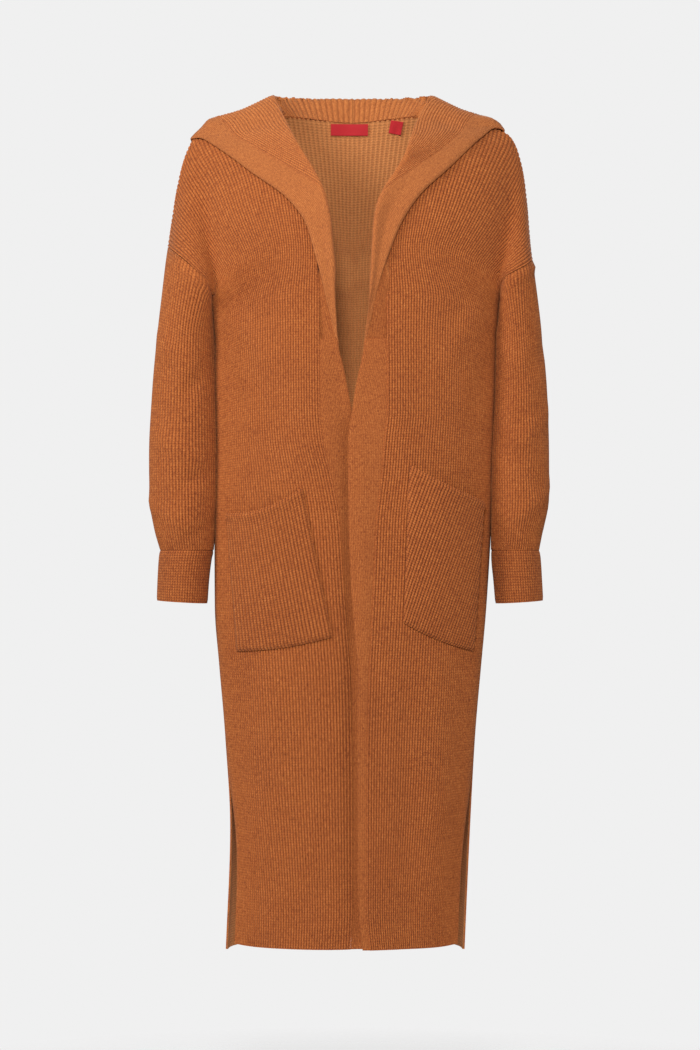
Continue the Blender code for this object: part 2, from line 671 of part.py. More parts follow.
def build_pockets():
    for side in SIGN:
        base = np.array([
            [front_at(side, *pocket_point(side, j / (POCKET_COLUMNS - 1), i / (POCKET_ROWS - 1)))
             for j in range(POCKET_COLUMNS)]
            for i in range(POCKET_ROWS)
        ])
        across = np.linspace(0, 1, POCKET_COLUMNS)[None, :, None]
        down = np.linspace(0, 1, POCKET_ROWS)[:, None, None]
        flip = side == "left"
        base = on_side(side, base)
        if side == "right":
            lap = LAP_DEPTH * ease(1 - np.abs(base[..., 0]) / LAP_REACH)
            base[..., 1] += lap
        lift = POCKET_CLEARANCE + WALL + GAPE * np.sin(math.pi * across) ** 0.6 * (1 - down) ** 0.7 * (down < 1)
        grid = base + normals_of(base) * (-1 if flip else 1) * lift
        shell(side + "_pocket", grid, WALL, RIB_COLOUR, flip=flip)


POCKET_CLEARANCE = 0.0009  # faceted cloth under a pocket stands a little proud of its curve

LABELS = {
    "neck_label": {"middle": -0.0035, "wide": 0.051, "top": -0.0035, "tall": 0.0150, "turn": 0.0},
    "size_label": {"middle": 0.0620, "wide": 0.0170, "top": -0.0010, "tall": 0.0165, "turn": 0.20},
}
LABEL_STAND_OFF = 0.0020  # of a label's face from the inside of the back


def build_labels():
    for name, label in LABELS.items():
        grid = []
        for down in np.linspace(0, 1, 3):
            row = []
            for share in np.linspace(-0.5, 0.5, 6):
                u, v = share * label["wide"], -down * label["tall"]
                x = label["middle"] + u * math.cos(label["turn"]) - v * math.sin(label["turn"])
                z = label["top"] + v * math.cos(label["turn"]) - u * math.sin(label["turn"])
                point = front_at("left", abs(x), z, "back")
                row.append([x, point[1] - WALL - LABEL_STAND_OFF - LABEL_WALL, z])
            grid.append(row)
        shell(name, np.array(grid), LABEL_WALL, LABEL_COLOUR, flip=True)


for left_over in list(bpy.data.objects):
    bpy.data.objects.remove(left_over, do_unlink=True)
front_sheets = build_fronts()
body_sheets = front_sheets + build_back()
build_bands(front_sheets)
build_sleeves(body_sheets)
build_hood(body_sheets)
build_pockets()
build_labels()
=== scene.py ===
import math

import bpy
import numpy as np
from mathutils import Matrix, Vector
from mathutils.bvhtree import BVHTree


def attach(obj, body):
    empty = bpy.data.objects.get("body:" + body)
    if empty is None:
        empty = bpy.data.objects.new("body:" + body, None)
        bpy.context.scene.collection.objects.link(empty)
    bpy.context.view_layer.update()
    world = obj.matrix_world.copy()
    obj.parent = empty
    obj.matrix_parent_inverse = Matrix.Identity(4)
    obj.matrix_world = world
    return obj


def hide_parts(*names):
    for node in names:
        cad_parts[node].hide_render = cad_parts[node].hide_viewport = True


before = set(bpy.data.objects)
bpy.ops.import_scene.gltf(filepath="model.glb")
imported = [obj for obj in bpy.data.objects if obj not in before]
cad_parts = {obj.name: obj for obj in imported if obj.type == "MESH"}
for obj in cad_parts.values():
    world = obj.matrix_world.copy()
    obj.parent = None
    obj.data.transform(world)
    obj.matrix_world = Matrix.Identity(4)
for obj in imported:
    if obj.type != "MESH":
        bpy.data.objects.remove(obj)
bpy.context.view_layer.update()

# Long cardigan in a marled rib knit, hood worn down, as it hangs on a figure that isn't there.
# Metres, the front faces -Y; right and left are the wearer's, and right is -X.

sign = {"right": -1, "left": 1}
facing = {"front": -1, "back": 1}


def table(names, *rows):
    return dict(zip(names.split(), np.array(rows, float).T))


def hermite(u, start, end, leave, arrive):  # from start to end, with its slopes there
    straight = start * (1 + 2 * u) * (1 - u) ** 2 + end * u**2 * (3 - 2 * u)
    return straight + u * (1 - u) * (leave * (1 - u) - arrive * u)


def curveThrough(xs, ys, at):  # smooth, and never past the points it goes through
    wide = np.diff(xs)
    slope = np.diff(ys) / wide
    bend = np.concatenate([slope[:1], np.zeros(len(xs) - 2), slope[-1:]])
    turn = slope[:-1] * slope[1:] > 0
    bend[1:-1][turn] = 2 * (slope[:-1] * slope[1:])[turn] / (slope[:-1] + slope[1:])[turn]
    at = np.clip(at, xs[0], xs[-1])
    i = np.clip(np.searchsorted(xs, at) - 1, 0, len(wide) - 1)
    return hermite((at - xs[i]) / wide[i], ys[i], ys[i + 1], wide[i] * bend[i], wide[i] * bend[i + 1])


def readRow(rows, column, at):
    return curveThrough(rows[next(iter(rows))], rows[column], np.asarray(at, float))


def ease(share):
    share = np.clip(share, 0, 1)
    return share * share * (3 - 2 * share)


def unit(vector):
    return vector / np.linalg.norm(vector)


def runOf(points):
    return np.concatenate([[0], np.cumsum(np.linalg.norm(np.diff(points, axis=0), axis=1))])


def picked(values, run, at):
    return np.stack([np.interp(at, run, values[:, k]) for k in range(values.shape[1])], axis=1)


def onSide(side, points):
    return points * np.array([sign[side], 1, 1])


def normalsOf(grid, closed=False):
    if closed:
        across = np.roll(grid, -1, axis=1) - np.roll(grid, 1, axis=1)
    else:
        across = np.gradient(grid, axis=1)
    found = np.cross(across, np.gradient(grid, axis=0))
    return found / np.maximum(np.linalg.norm(found, axis=2, keepdims=True), 1e-12)


# The body is worked out in levels, lines across a panel that start `down` metres below the shoulder.
body = {
    "underarm": 0.25,
    "frontLength": 1.122,
    "backLength": 1.137,
    "slitTop": {"right": 0.887, "left": 0.866},
    "slitSwing": {"front": (-0.019, -0.028, 0), "back": (0, 0.004, 0)},  # how far the hem moves at a slit
    "underarmLead": 0.056,
    "settle": 0.1,  # over this drop a level's end leaves the armhole's height
    "chestAngle": math.radians(68),
    "roundness": 0.85,
    "neckX": 0.092,
    "ridgeBack": 0.055,  # the shoulder line bows back this far at the neck
    "ridgeSpan": 0.15,
    "ridgeDepth": 0.09,  # and no more where a level is this deep
    "foot": 0.32,  # where the lapels end and the front bands start
    "lapDepth": 0.0075,
    "lapReach": 0.055,
    "wall": 0.002,
    "seamGap": 0.0002,  # each piece keeps this far from a seam
    "topRows": (0, 0.006, 0.013, 0.021, 0.03, 0.04, 0.05, 0.06),  # closer where the shoulder turns
    "rowStep": 0.0122,
    "ribHeight": 0.00072,
    "frontRibs": 57,
    "backRibs": 56,
    "levels": table(
        "down rightX leftX frontY backY lobeZ rise",
        (0.00, 0.2210, 0.2233, 0.000, 0.000, -0.021, 0.025),
        (0.02, 0.2185, 0.2250, 0.036, 0.030, -0.045, 0.028),
        (0.07, 0.2087, 0.2250, 0.076, 0.068, -0.105, 0.040),
        (0.12, 0.2040, 0.2190, 0.096, 0.094, -0.160, 0.045),
        (0.17, 0.1980, 0.2130, 0.108, 0.107, -0.210, 0.045),
        (0.25, 0.1890, 0.2000, 0.117, 0.112, -0.275, 0.030),
        (0.35, 0.1860, 0.1950, 0.120, 0.112, -0.360, 0.016),
        (0.45, 0.1845, 0.1920, 0.122, 0.110, -0.452, 0.008),
        (0.58, 0.1862, 0.1875, 0.125, 0.117, -0.575, 0.000),
        (0.67, 0.1858, 0.1820, 0.127, 0.124, -0.665, 0.000),
        (0.75, 0.1798, 0.1750, 0.126, 0.128, -0.745, 0.000),
        (0.85, 0.1715, 0.1665, 0.123, 0.127, -0.845, 0.000),
        (0.97, 0.1650, 0.1600, 0.121, 0.124, -0.965, 0.000),
        (1.14, 0.1712, 0.1525, 0.121, 0.122, -1.135, 0.000),
    ),
    "ridge": table(
        "share rise",
        (0, 0.8), (0.22, 0.9), (0.45, 1), (0.63, 0.88), (0.76, 0.68), (0.9, 0.34), (1, 0),
    ),
    "edges": table(
        "drop rightEdge leftEdge rightBand leftBand",
        (0.3175, 0.0185, 0.0160, 0.0440, 0.0470),
        (0.3400, 0.0125, 0.0118, 0.0437, 0.0475),
        (0.3700, 0.0065, 0.0050, 0.0435, 0.0475),
        (0.4046, 0.0000, 0.0000, 0.0430, 0.0475),
        (0.4400, -0.0070, -0.0045, 0.0400, 0.0440),
        (0.4900, -0.0090, -0.0052, 0.0280, 0.0400),
        (0.5500, -0.0100, -0.0045, 0.0170, 0.0330),
        (0.6200, -0.0100, -0.0020, 0.0120, 0.0300),
        (0.7000, -0.0140, 0.0035, 0.0060, 0.0260),
        (0.7600, -0.0180, 0.0078, 0.0020, 0.0230),
        (0.9000, -0.0190, 0.0080, 0.0000, 0.0200),
        (1.0600, -0.0190, 0.0085, 0.0000, 0.0200),
        (1.1350, -0.0120, 0.0160, 0.0030, 0.0260),
    ),
}
armhole = table(  # a lead is the way the cloth runs as it reaches the seam
    "down rightX leftX y rightZ leftZ leadX leadY leadZ",
    (0.00, 0.2502, 0.2448, 0.000, -0.1756, -0.1919, 0.020, 0.000, -0.100),
    (0.04, 0.2410, 0.2425, 0.040, -0.1850, -0.1975, 0.020, 0.000, -0.085),
    (0.08, 0.2250, 0.2330, 0.062, -0.1985, -0.2060, 0.015, 0.000, -0.060),
    (0.12, 0.2060, 0.2170, 0.069, -0.2160, -0.2150, 0.010, 0.005, -0.045),
    (0.16, 0.1920, 0.2040, 0.062, -0.2310, -0.2230, 0.005, 0.000, -0.030),
    (0.20, 0.1880, 0.1990, 0.040, -0.2480, -0.2360, 0.000, -0.030, -0.010),
    (0.25, 0.1890, 0.2000, 0.000, -0.2660, -0.2540, 0.000, -0.056, 0.000),
)
lapel = {  # a row for each step: the roll line, the free edge and how far out the neck seam lies
    "right": table(
        "rollX rollY rollZ edgeX edgeZ seam",
        (0.0178, 0.119, -0.3172, 0.02, -0.318, 0.026),
        (0.0215, 0.122, -0.25, 0.0363, -0.25, 0.022),
        (0.024, 0.119, -0.19, 0.0501, -0.191, 0.023),
        (0.0268, 0.114, -0.15, 0.0634, -0.1525, 0.027),
        (0.039, 0.099, -0.104, 0.088, -0.1192, 0.03),
        (0.056, 0.082, -0.07, 0.131, -0.086, 0.029),
        (0.074, 0.06, -0.04, 0.1795, -0.0473, 0.022),
        (0.089, 0.027, -0.01, 0.208, -0.029, 0.01),
    ),
    "left": table(
        "rollX rollY rollZ edgeX edgeZ seam",
        (0.0153, 0.119, -0.3172, 0.0175, -0.318, 0.031),
        (0.0224, 0.122, -0.245, 0.0356, -0.245, 0.024),
        (0.0251, 0.119, -0.191, 0.0515, -0.192, 0.023),
        (0.0284, 0.114, -0.1453, 0.0661, -0.1545, 0.027),
        (0.0423, 0.099, -0.1064, 0.0914, -0.1152, 0.03),
        (0.0583, 0.084, -0.08, 0.1289, -0.0787, 0.029),
        (0.0733, 0.065, -0.05, 0.1755, -0.031, 0.022),
        (0.084, 0.032, -0.018, 0.195, -0.015, 0.01),
    ),
}


def armholePoint(side, face, down):
    y = facing[face] * readRow(armhole, "y", down)
    return np.array([readRow(armhole, side + "X", down), y, readRow(armhole, side + "Z", down)])


def levelPoints(side, face, down):  # from the centre out to the armhole or the side, on the +X side
    levels = body["levels"]
    half, depth = readRow(levels, side + "X", down), readRow(levels, face + "Y", down)
    angles = np.linspace(0, body["chestAngle"], 40)
    x = half * np.sin(angles)
    ridge = body["ridgeBack"] * np.clip(1 - (x / body["ridgeSpan"]) ** 2, 0, 1) ** 1.5
    ridge *= np.clip(1 - depth / body["ridgeDepth"], 0, 1) ** 1.3
    y = facing[face] * depth * np.cos(angles) ** body["roundness"] + ridge
    rise = readRow(body["ridge"], "rise", x / x[-1])
    z = readRow(levels, "lobeZ", down) + readRow(levels, "rise", down) * rise
    chest = np.stack([x, y, z], axis=1)
    if down < body["underarm"]:
        end = armholePoint(side, face, down)
        lead = np.array([readRow(armhole, "lead" + k, down) for k in "XYZ"])
        lead[1] *= facing[face]
    else:
        start = readRow(armhole, side + "Z", body["underarm"]) - (down - body["underarm"])
        low = ease((down - body["underarm"]) / body["settle"])
        end = np.array([half, 0.0, start + (chest[-1, 2] - start) * low])
        lead = np.array([0, -body["underarmLead"] * facing[face], 0])
        slitTop = body["slitTop"][side]
        slit = ease((down - slitTop) / (body["frontLength"] - slitTop))
        end += np.array(body["slitSwing"][face]) * slit
    leave = chest[-1] - chest[-2]
    strength = 0.62 + 0.38 * ease(down / body["underarm"])  # how long it keeps the chest's direction
    leave *= np.linalg.norm(end - chest[-1]) * strength / np.linalg.norm(leave)
    arm = hermite(np.linspace(0, 1, 30)[1:, None], chest[-1], end, leave, lead)
    return np.concatenate([chest, arm])


def neckX(side, z):
    rows = lapel[side]
    roll, shift = [curveThrough(rows["rollZ"], rows[k], z) for k in ("rollX", "seam")]
    top = curveThrough(np.array([-0.06, 0.004]), np.array([0.0, 1.0]), z)
    return (roll + shift) * (1 - top) + body["neckX"] * top


def lapShift(x):  # the right front passes under the left one
    return body["lapDepth"] * ease(1 - x / body["lapReach"])


def crossing(side, points, line):  # how far along a level one of the front's lines crosses it
    if line == "neck":
        wanted = neckX(side, points[:, 2])
    else:
        wanted = readRow(body["edges"], side + line, -points[:, 2])
    ahead = points[:, 0] - wanted
    run = runOf(points)
    if ahead[0] > 0:
        return -ahead[0]
    i = int(np.argmax(ahead > 0)) - 1
    return run[i] - ahead[i] / (ahead[i + 1] - ahead[i]) * (run[i + 1] - run[i])


def bodyAt(side, x, z, face="front"):  # the body's outside where it stands at x and z, seen from the front
    down = max(-z, 0.0)
    for _ in range(8):
        points = levelPoints(side, face, down)
        reach = np.maximum.accumulate(points[:, 0]) + np.arange(len(points)) * 1e-9
        found = picked(points, reach, [x])[0]
        down = float(np.clip(down + found[2] - z, 0.0, body["backLength"]))
    return np.array([x, found[1], z])


def downsFrom(start, length):
    upper = np.array(body["topRows"])
    upper = upper[upper >= start]
    first = upper[-1] if len(upper) else start
    lower = np.linspace(first, length, int((length - first) / body["rowStep"]) + 1)
    return np.concatenate([upper[:-1], lower])


def setInputs(node, values):  # a wire is linked, anything else is set
    for key, value in values.items():
        if isinstance(value, Wire):
            value.tree.links.new(value.socket, node.inputs[key])
        else:
            node.inputs[key].default_value = value


class Wire:  # a socket of a shader; arithmetic on it adds Math nodes
    def __init__(self, tree, socket=None):
        self.tree, self.socket = tree, socket

    def node(self, kind, inputs=None, out=0, **settings):
        made = self.tree.nodes.new("ShaderNode" + kind)
        for key, value in settings.items():
            if key == "stops":
                ramp = made.color_ramp
                while len(ramp.elements) < len(value):
                    ramp.elements.new(0.5)
                for element, (place, colour) in zip(ramp.elements, value):
                    element.position, element.color = place, (*colour, 1)
            else:
                setattr(made, key, value)
        setInputs(made, inputs or {})
        return Wire(self.tree, made.outputs[out])

    def maths(self, operation, first, second=0.0):
        return self.node("Math", {0: first, 1: second}, operation=operation)

    def __add__(self, other):
        return self.maths("ADD", self, other)

    __radd__ = __add__

    def __sub__(self, other):
        return self.maths("SUBTRACT", self, other)

    def __rsub__(self, other):
        return self.maths("SUBTRACT", other, self)

    def __mul__(self, other):
        return self.maths("MULTIPLY", self, other)

    def __pow__(self, other):
        return self.maths("POWER", self, other)


def mixed(wire, share, first, second):
    return wire.node("Mix", {0: share, 6: first, 7: second}, out=2, data_type="RGBA")


def noise(wire, place, scale, detail, roughness):
    return wire.node("TexNoise", {"Vector": place, "Scale": scale, "Detail": detail, "Roughness": roughness})


def newMaterial(name, roughness):
    material = bpy.data.materials.new(name)
    material.use_nodes = True
    shader = material.node_tree.nodes["Principled BSDF"]
    setInputs(shader, {"Roughness": roughness, "Specular IOR Level": 0.22})
    setInputs(shader, {"Sheen Weight": 0.1, "Sheen Roughness": 0.6, "Sheen Tint": (1, 0.72, 0.5, 1)})
    return material, shader


yarn = {
    "dark": (0.205, 0.042, 0.008),
    "rust": (0.425, 0.11, 0.023),
    "amber": (0.575, 0.167, 0.036),
    "pale": (0.72, 0.255, 0.068),
    "shadow": (0.15, 0.03, 0.008),
    # painted light: a bright orange mixed in where a knit should look more brightly lit
    "light": (1.0, 0.5, 0.2),
    "fibre": 520.0,  # how fine the marl is, per metre
    "bump": 0.00034,
}
# Sizes in metres; valley and gap paint shade between wales and between courses.
ribStitch = {"course": 0.0034, "valley": 0.64, "gap": 0.32, "lean": 0.9}
plainStitch = {"wale": 0.0023, "course": 0.0021, "valley": 0.5, "gap": 0.44, "lean": 1.1}
cuffStitch = {"course": 0.0036, "valley": 0.62, "gap": 0.5, "lean": 0.8}


def knitMaterial(name, stitch, **changes):  # u counts wales, v is metres along them
    stitch = {"warm": 0.0, "light": 0.0, **stitch, **changes}
    material, shader = newMaterial(name, 0.86)
    start = Wire(material.node_tree)
    uv = start.node("UVMap", uv_map="knit")
    u = start.node("SeparateXYZ", {0: uv}, out=0)
    v = start.node("SeparateXYZ", {0: uv}, out=1)
    across = start.maths("PINGPONG", u, 0.5)  # 0 on a wale's crest, 0.5 between two
    cleft = start.maths("MINIMUM", 1.0, (across * 2.0) ** 2.6)
    course = start.maths("SINE", (v * (1 / stitch["course"]) + across * stitch["lean"]) * (2 * math.pi))
    knot = course * 0.5 + 0.5
    place = start.node("TexCoord", out=3)
    speck = noise(start, place, yarn["fibre"], 3.0, 0.65)
    along = start.node("CombineXYZ", {0: u * 1.9, 1: v * 150.0})
    streak = noise(start, along, 1.0, 2.0, 0.6)
    cloud = noise(start, place, 16.0, 3.0, 0.55)
    # the shift moves the marl towards its paler shades: painted light on the hood, the hood band and the
    # back's inside, a touch darker on the cuffs
    marl = speck * 0.62 + streak * 0.38 + (cloud - 0.5) * 0.1 + stitch["warm"]
    stops = [(0.33, yarn["dark"]), (0.45, yarn["rust"]), (0.56, yarn["amber"]), (0.72, yarn["pale"])]
    colour = start.node("ValToRGB", {0: marl}, stops=stops)
    # mixes painted light into the yarn's colour
    if stitch["light"]:
        colour = mixed(start, stitch["light"], colour, (*yarn["light"], 1))
    shade = cleft * stitch["valley"] + (1 - knot) * stitch["gap"]
    colour = mixed(start, shade, colour, (*yarn["shadow"], 1))
    height = knot * 0.5 + speck * 0.75 - cleft * 0.25
    bump = start.node("Bump", {"Strength": 1.0, "Distance": yarn["bump"], "Height": height})
    setInputs(shader, {"Base Color": colour, "Roughness": 0.8 + speck * 0.16, "Normal": bump})
    return material


def labelMaterial():
    material, shader = newMaterial("redTape", 0.62)
    start = Wire(material.node_tree)
    place = start.node("TexCoord", out=3)
    weave, cross = [
        start.node("TexWave", {"Vector": place, "Scale": scale, "Distortion": 0.6}, bands_direction=way)
        for way, scale in (("X", 320.0), ("Z", 420.0))
    ]
    thread = weave * 0.5 + cross * 0.5
    colour = mixed(start, thread, (0.46, 0.012, 0.02, 1), (0.72, 0.035, 0.045, 1))
    bump = start.node("Bump", {"Strength": 0.8, "Distance": 0.0001, "Height": thread})
    setInputs(shader, {"Base Color": colour, "Roughness": 0.7 - thread * 0.15, "Normal": bump})
    return material


ribKnit = knitMaterial("marledRibKnit", ribStitch)
plainKnit = knitMaterial("plainFineKnit", plainStitch, light=0.01)
# the hood band: a lit copy of the plain knit, with painted light and less painted shade in its stitches, so
# the turned-over lapels look brighter
litBandKnit = knitMaterial("litFineKnit", plainStitch, valley=0.42, gap=0.36, warm=0.02, light=0.08)
# the hood: a lit copy of the rib knit, with painted light and less painted shade
hoodKnit = knitMaterial("hoodRibKnit", ribStitch, valley=0.5, gap=0.26, warm=0.03, light=0.07)
# the back's inside: the knit's reverse face with little painted shade, made paler with painted light where
# the lamps reach in too little
reverseKnit = knitMaterial("litReverseKnit", ribStitch, valley=0.34, gap=0.28, warm=0.16, light=0.27)
# the pockets: deeper painted shade in their clefts, so they read darker
pocketKnit = knitMaterial("pocketRibKnit", ribStitch, valley=0.74, gap=0.4)
cuffKnit = knitMaterial("closeRibKnit", cuffStitch, warm=-0.01)
redTape = labelMaterial()
print("materials made")


def ribRelief(count, height):  # a wale's round crest and the cleft between two, four points to a wale
    shape = np.array([1.0, 0.35, -1.0, 0.35])
    return height * shape[np.arange(count) % 4]


def softLines(places, rows, least):  # ridges and troughs, with this least share at their ends
    lift = np.zeros(places.shape[:-1])
    for x0, y0, x1, y1, width, height in zip(*rows.values()):
        start, run = np.array([x0, y0]), np.array([x1 - x0, y1 - y0])
        t = np.clip(((places - start) @ run) / (run @ run), 0, 1)
        gap = np.linalg.norm(places - start - t[..., None] * run, axis=-1)
        lift += height * np.exp(-((gap / width) ** 2)) * (least + (1 - least) * np.sin(math.pi * t))
    return lift


def creases(*rows):  # where each starts and ends, seen from the front
    return table("x0 z0 x1 z1 width height", *rows)


def creaseLift(points, rows):
    return softLines(points[..., [0, 2]], rows, 0.55)


def cells(rows, columns):
    return [k.ravel() for k in np.meshgrid(np.arange(rows), np.arange(columns), indexing="ij")]


def turnedIn(quads, grid, normals):  # whether the quads face against the normals
    flat = grid.reshape(-1, 3)
    facings = np.cross(flat[quads[:, 2]] - flat[quads[:, 0]], flat[quads[:, 3]] - flat[quads[:, 1]])
    return (facings * normals.reshape(-1, 3)[quads[:, 0]]).sum() < 0


# u and v hold one column more than the grid where the sheet is closed to a tube
def sewSheet(name, grid, normals, u, v, wall, material, slot, closed=False, inside=None):
    rows, columns = grid.shape[:2]
    i, j = cells(rows - 1, columns if closed else columns - 1)
    above, below, beside = i * columns, (i + 1) * columns, (j + 1) % columns
    corners = np.stack([above + j, below + j, below + beside, above + beside], axis=1)
    above, below = i * u.shape[1], (i + 1) * u.shape[1]
    marks = np.stack([above + j, below + j, below + j + 1, above + j + 1], axis=1)
    if turnedIn(corners, grid, normals):
        corners, marks = corners[:, ::-1], marks[:, ::-1]
    mesh = bpy.data.meshes.new(name)
    mesh.from_pydata(grid.reshape(-1, 3).tolist(), [], corners.tolist())
    layer = mesh.uv_layers.new(name="knit")
    uv = np.stack([u.ravel()[marks.ravel()], v.ravel()[marks.ravel()]], axis=1)
    layer.data.foreach_set("uv", uv.ravel())
    piece = bpy.data.objects.new(name, mesh)
    bpy.context.collection.objects.link(piece)
    mesh.materials.append(material)
    if inside:
        mesh.materials.append(inside)
    return finishCloth(piece, wall)


def finishCloth(piece, wall):
    bpy.ops.object.select_all(action="DESELECT")
    piece.select_set(True)
    bpy.context.view_layer.objects.active = piece
    bpy.ops.object.mode_set(mode="EDIT")
    bpy.ops.mesh.select_all(action="SELECT")
    bpy.ops.mesh.remove_doubles(threshold=0.00002)
    bpy.ops.mesh.dissolve_degenerate(threshold=0.00001)
    bpy.ops.object.mode_set(mode="OBJECT")
    thickness = piece.modifiers.new("wall", "SOLIDIFY")
    thickness.thickness, thickness.offset = wall, -1
    thickness.material_offset = len(piece.data.materials) - 1  # the far side may look different
    bpy.ops.object.modifier_apply(modifier=thickness.name)
    bpy.ops.object.shade_smooth_by_angle(angle=math.radians(75))
    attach(piece, "root")
    print(piece.name, sum(len(p.vertices) - 2 for p in piece.data.polygons), "triangles")
    return piece


def treeOf(sheets):  # the outer faces of grids, to keep other cloth off them
    points, faces = [], []
    for grid, normals in sheets:
        rows, columns = grid.shape[:2]
        i, j = cells(rows - 1, columns - 1)
        corner = i * columns + j
        quads = np.stack([corner, corner + 1, corner + columns + 1, corner + columns], axis=1)
        if turnedIn(quads, grid, normals):
            quads = quads[:, ::-1]
        faces += (quads + len(points)).tolist()
        points += [Vector(p) for p in grid.reshape(-1, 3)]
    return BVHTree.FromPolygons(points, faces)


def keptOff(points, tree, clearance):
    out = points.copy()
    nearby = 0.012  # farther points belong to another side
    for point in out.reshape(-1, 3):
        near, normal, _, gap = tree.find_nearest(Vector(point))
        height = (Vector(point) - near).dot(normal)
        if gap < nearby and height < clearance:
            point += np.array(normal) * (clearance - height)
    return out


band = {
    "wall": 0.0019,
    "columns": 12,
    "tuck": 0.008,  # its top goes this far up behind the lapel's foot
    "topSink": 0.0012,
    "edgeCurl": (-0.0008, 0.0004),  # the free edge rolls in
    "seamSink": (-0.0001, -0.0006),
}
frontCreases = {
    "right": creases(
        (0, -0.43, 0.009, -1.13, 0.015, -0.009),  # it sinks under the other front's edge
        (-0.176, -0.255, -0.12, -0.33, 0.016, 0.0035),  # from the underarm across the chest
        (-0.184, -0.3, -0.15, -0.4, 0.012, -0.003),
        (-0.15, -0.23, -0.105, -0.215, 0.02, -0.0025),
        (-0.06, -0.33, -0.075, -0.52, 0.026, 0.0022),
        (-0.11, -0.74, -0.12, -1.12, 0.026, 0.003),
        (-0.06, -0.76, -0.052, -1.12, 0.022, -0.0026),
        (-0.15, -0.76, -0.158, -1.12, 0.016, -0.003),
    ),
    "left": creases(
        (0.01, -0.44, 0.022, -1.13, 0.013, 0.0026),
        (0.186, -0.245, 0.128, -0.33, 0.015, 0.0035),
        (0.19, -0.3, 0.16, -0.42, 0.012, -0.0032),
        (0.15, -0.22, 0.108, -0.2, 0.018, -0.0024),
        (0.064, -0.3, 0.06, -0.47, 0.024, 0.002),
        (0.12, -0.74, 0.112, -1.12, 0.024, 0.0032),
        (0.074, -0.72, 0.07, -1.12, 0.02, -0.0026),
        (0.15, -0.73, 0.14, -1.12, 0.015, -0.0034),
    ),
}


def bodyNormals(grid, way=1):  # the top row's wall lies in the shoulder seam's plane
    normals = normalsOf(grid) * way
    across = np.cross(np.gradient(grid[0], axis=0), (0, 1, 0))
    normals[0] = across * np.sign(across[:, 2:] * 0.5 + across[:, :1] * np.sign(grid[0, :, :1]))
    return normals / np.linalg.norm(normals, axis=2, keepdims=True)


def frontRow(side, down, places):
    points = levelPoints(side, "front", down)
    row = picked(points, runOf(points), np.maximum(places, 0))
    row[:, 0] += np.minimum(places, 0)
    if side == "right":
        row[:, 1] += lapShift(row[:, 0])
    return onSide(side, row)


def frontSheet(side):
    count = body["frontRibs"] * 4 + 1
    rows, spans = [], []
    downs = downsFrom(0, body["frontLength"])
    for down in downs + body["seamGap"]:
        points = levelPoints(side, "front", down)
        edge = crossing(side, points, "Band") + body["seamGap"]
        places = np.linspace(edge, runOf(points)[-1] - body["seamGap"], count)
        limit = edge if down > body["foot"] else crossing(side, points, "neck")
        rows.append(frontRow(side, down, places))
        spans.append((places, np.maximum(places, limit)))
    grid = np.array(rows)
    normals = bodyNormals(grid, -sign[side])
    grid = grid + normals * creaseLift(grid, frontCreases[side])[..., None]
    smooth = grid.copy()
    relief = ribRelief(count, body["ribHeight"])
    grid = grid + normals * relief[None, :, None]
    u, v = np.meshgrid(np.arange(count) / 4.0, downs)
    for i, (places, kept) in enumerate(spans):  # what lies beyond the neckline is drawn back to it
        for values in (grid, smooth, normals):
            values[i] = picked(values[i], places, kept)
        u[i] = np.interp(kept, places, u[i])
    piece = sewSheet(side + "FrontKnit", grid, normals, u, v, body["wall"], ribKnit, "ribbed_knit")
    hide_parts(side + "_front")
    return smooth, normals


def bandSheet(side):
    downs = downsFrom(body["foot"] - band["tuck"], body["frontLength"])
    rows, widths = [], []
    for down in downs:
        points = levelPoints(side, "front", down)
        start, stop = crossing(side, points, "Edge"), crossing(side, points, "Band") - body["seamGap"]
        places = np.linspace(start, stop, band["columns"])
        rows.append(frontRow(side, down, places))
        widths.append(places - start)
    grid = np.array(rows)
    normals = normalsOf(grid) * -sign[side]
    curl = np.zeros(band["columns"])
    curl[:2], curl[-2:] = band["edgeCurl"], band["seamSink"]
    grid = grid + normals * (curl[None, :, None] + creaseLift(grid, frontCreases[side])[..., None])
    grid[0] -= normals[0] * band["topSink"]
    u = np.array(widths) / plainStitch["wale"]
    v = np.tile(downs[:, None], (1, band["columns"]))
    piece = sewSheet(side + "BandKnit", grid, normals, u, v, band["wall"], plainKnit, "plain_knit")
    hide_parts(side + "_front_band")


outerSheets = []
for side in sign:
    outerSheets.append(frontSheet(side))
    bandSheet(side)
print("fronts and bands made")


backCreases = creases(
    (-0.06, -0.32, -0.05, -0.9, 0.026, 0.003),
    (0.07, -0.36, 0.062, -1.12, 0.028, 0.0034),
    (0.01, -0.56, 0.004, -1.12, 0.022, -0.003),
    (-0.12, -0.3, -0.112, -1.1, 0.02, -0.0028),
    (0.13, -0.28, 0.122, -0.8, 0.02, -0.003),
    (-0.17, -0.25, -0.09, -0.33, 0.016, 0.003),
    (0.176, -0.24, 0.1, -0.34, 0.016, 0.003),
)


def backSheet():
    half = body["backRibs"] * 4 + 1
    downs = downsFrom(0, body["backLength"])
    rows = []
    for down in downs + body["seamGap"]:
        halves = []
        for side in sign:
            points = levelPoints(side, "back", down)
            run = runOf(points)
            places = np.linspace(0, run[-1] - body["seamGap"], half)
            halves.append(onSide(side, picked(points, run, places)))
        rows.append(np.concatenate([halves[0][:0:-1], halves[1]]))
    grid = np.array(rows)
    normals = bodyNormals(grid)
    grid = grid + normals * creaseLift(grid, backCreases)[..., None]
    smooth = grid.copy()
    relief = ribRelief(half, body["ribHeight"])
    grid = grid + normals * np.concatenate([relief[:0:-1], relief])[None, :, None]
    u, v = np.meshgrid(np.arange(1 - half, half) / 4.0, downs)
    wall = body["wall"]
    piece = sewSheet("backKnit", grid, normals, u, v, wall, ribKnit, "ribbed_knit", inside=reverseKnit)
    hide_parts("back")
    return smooth, normals


outerSheets.append(backSheet())
bodyTree = treeOf(outerSheets)
print("back made")


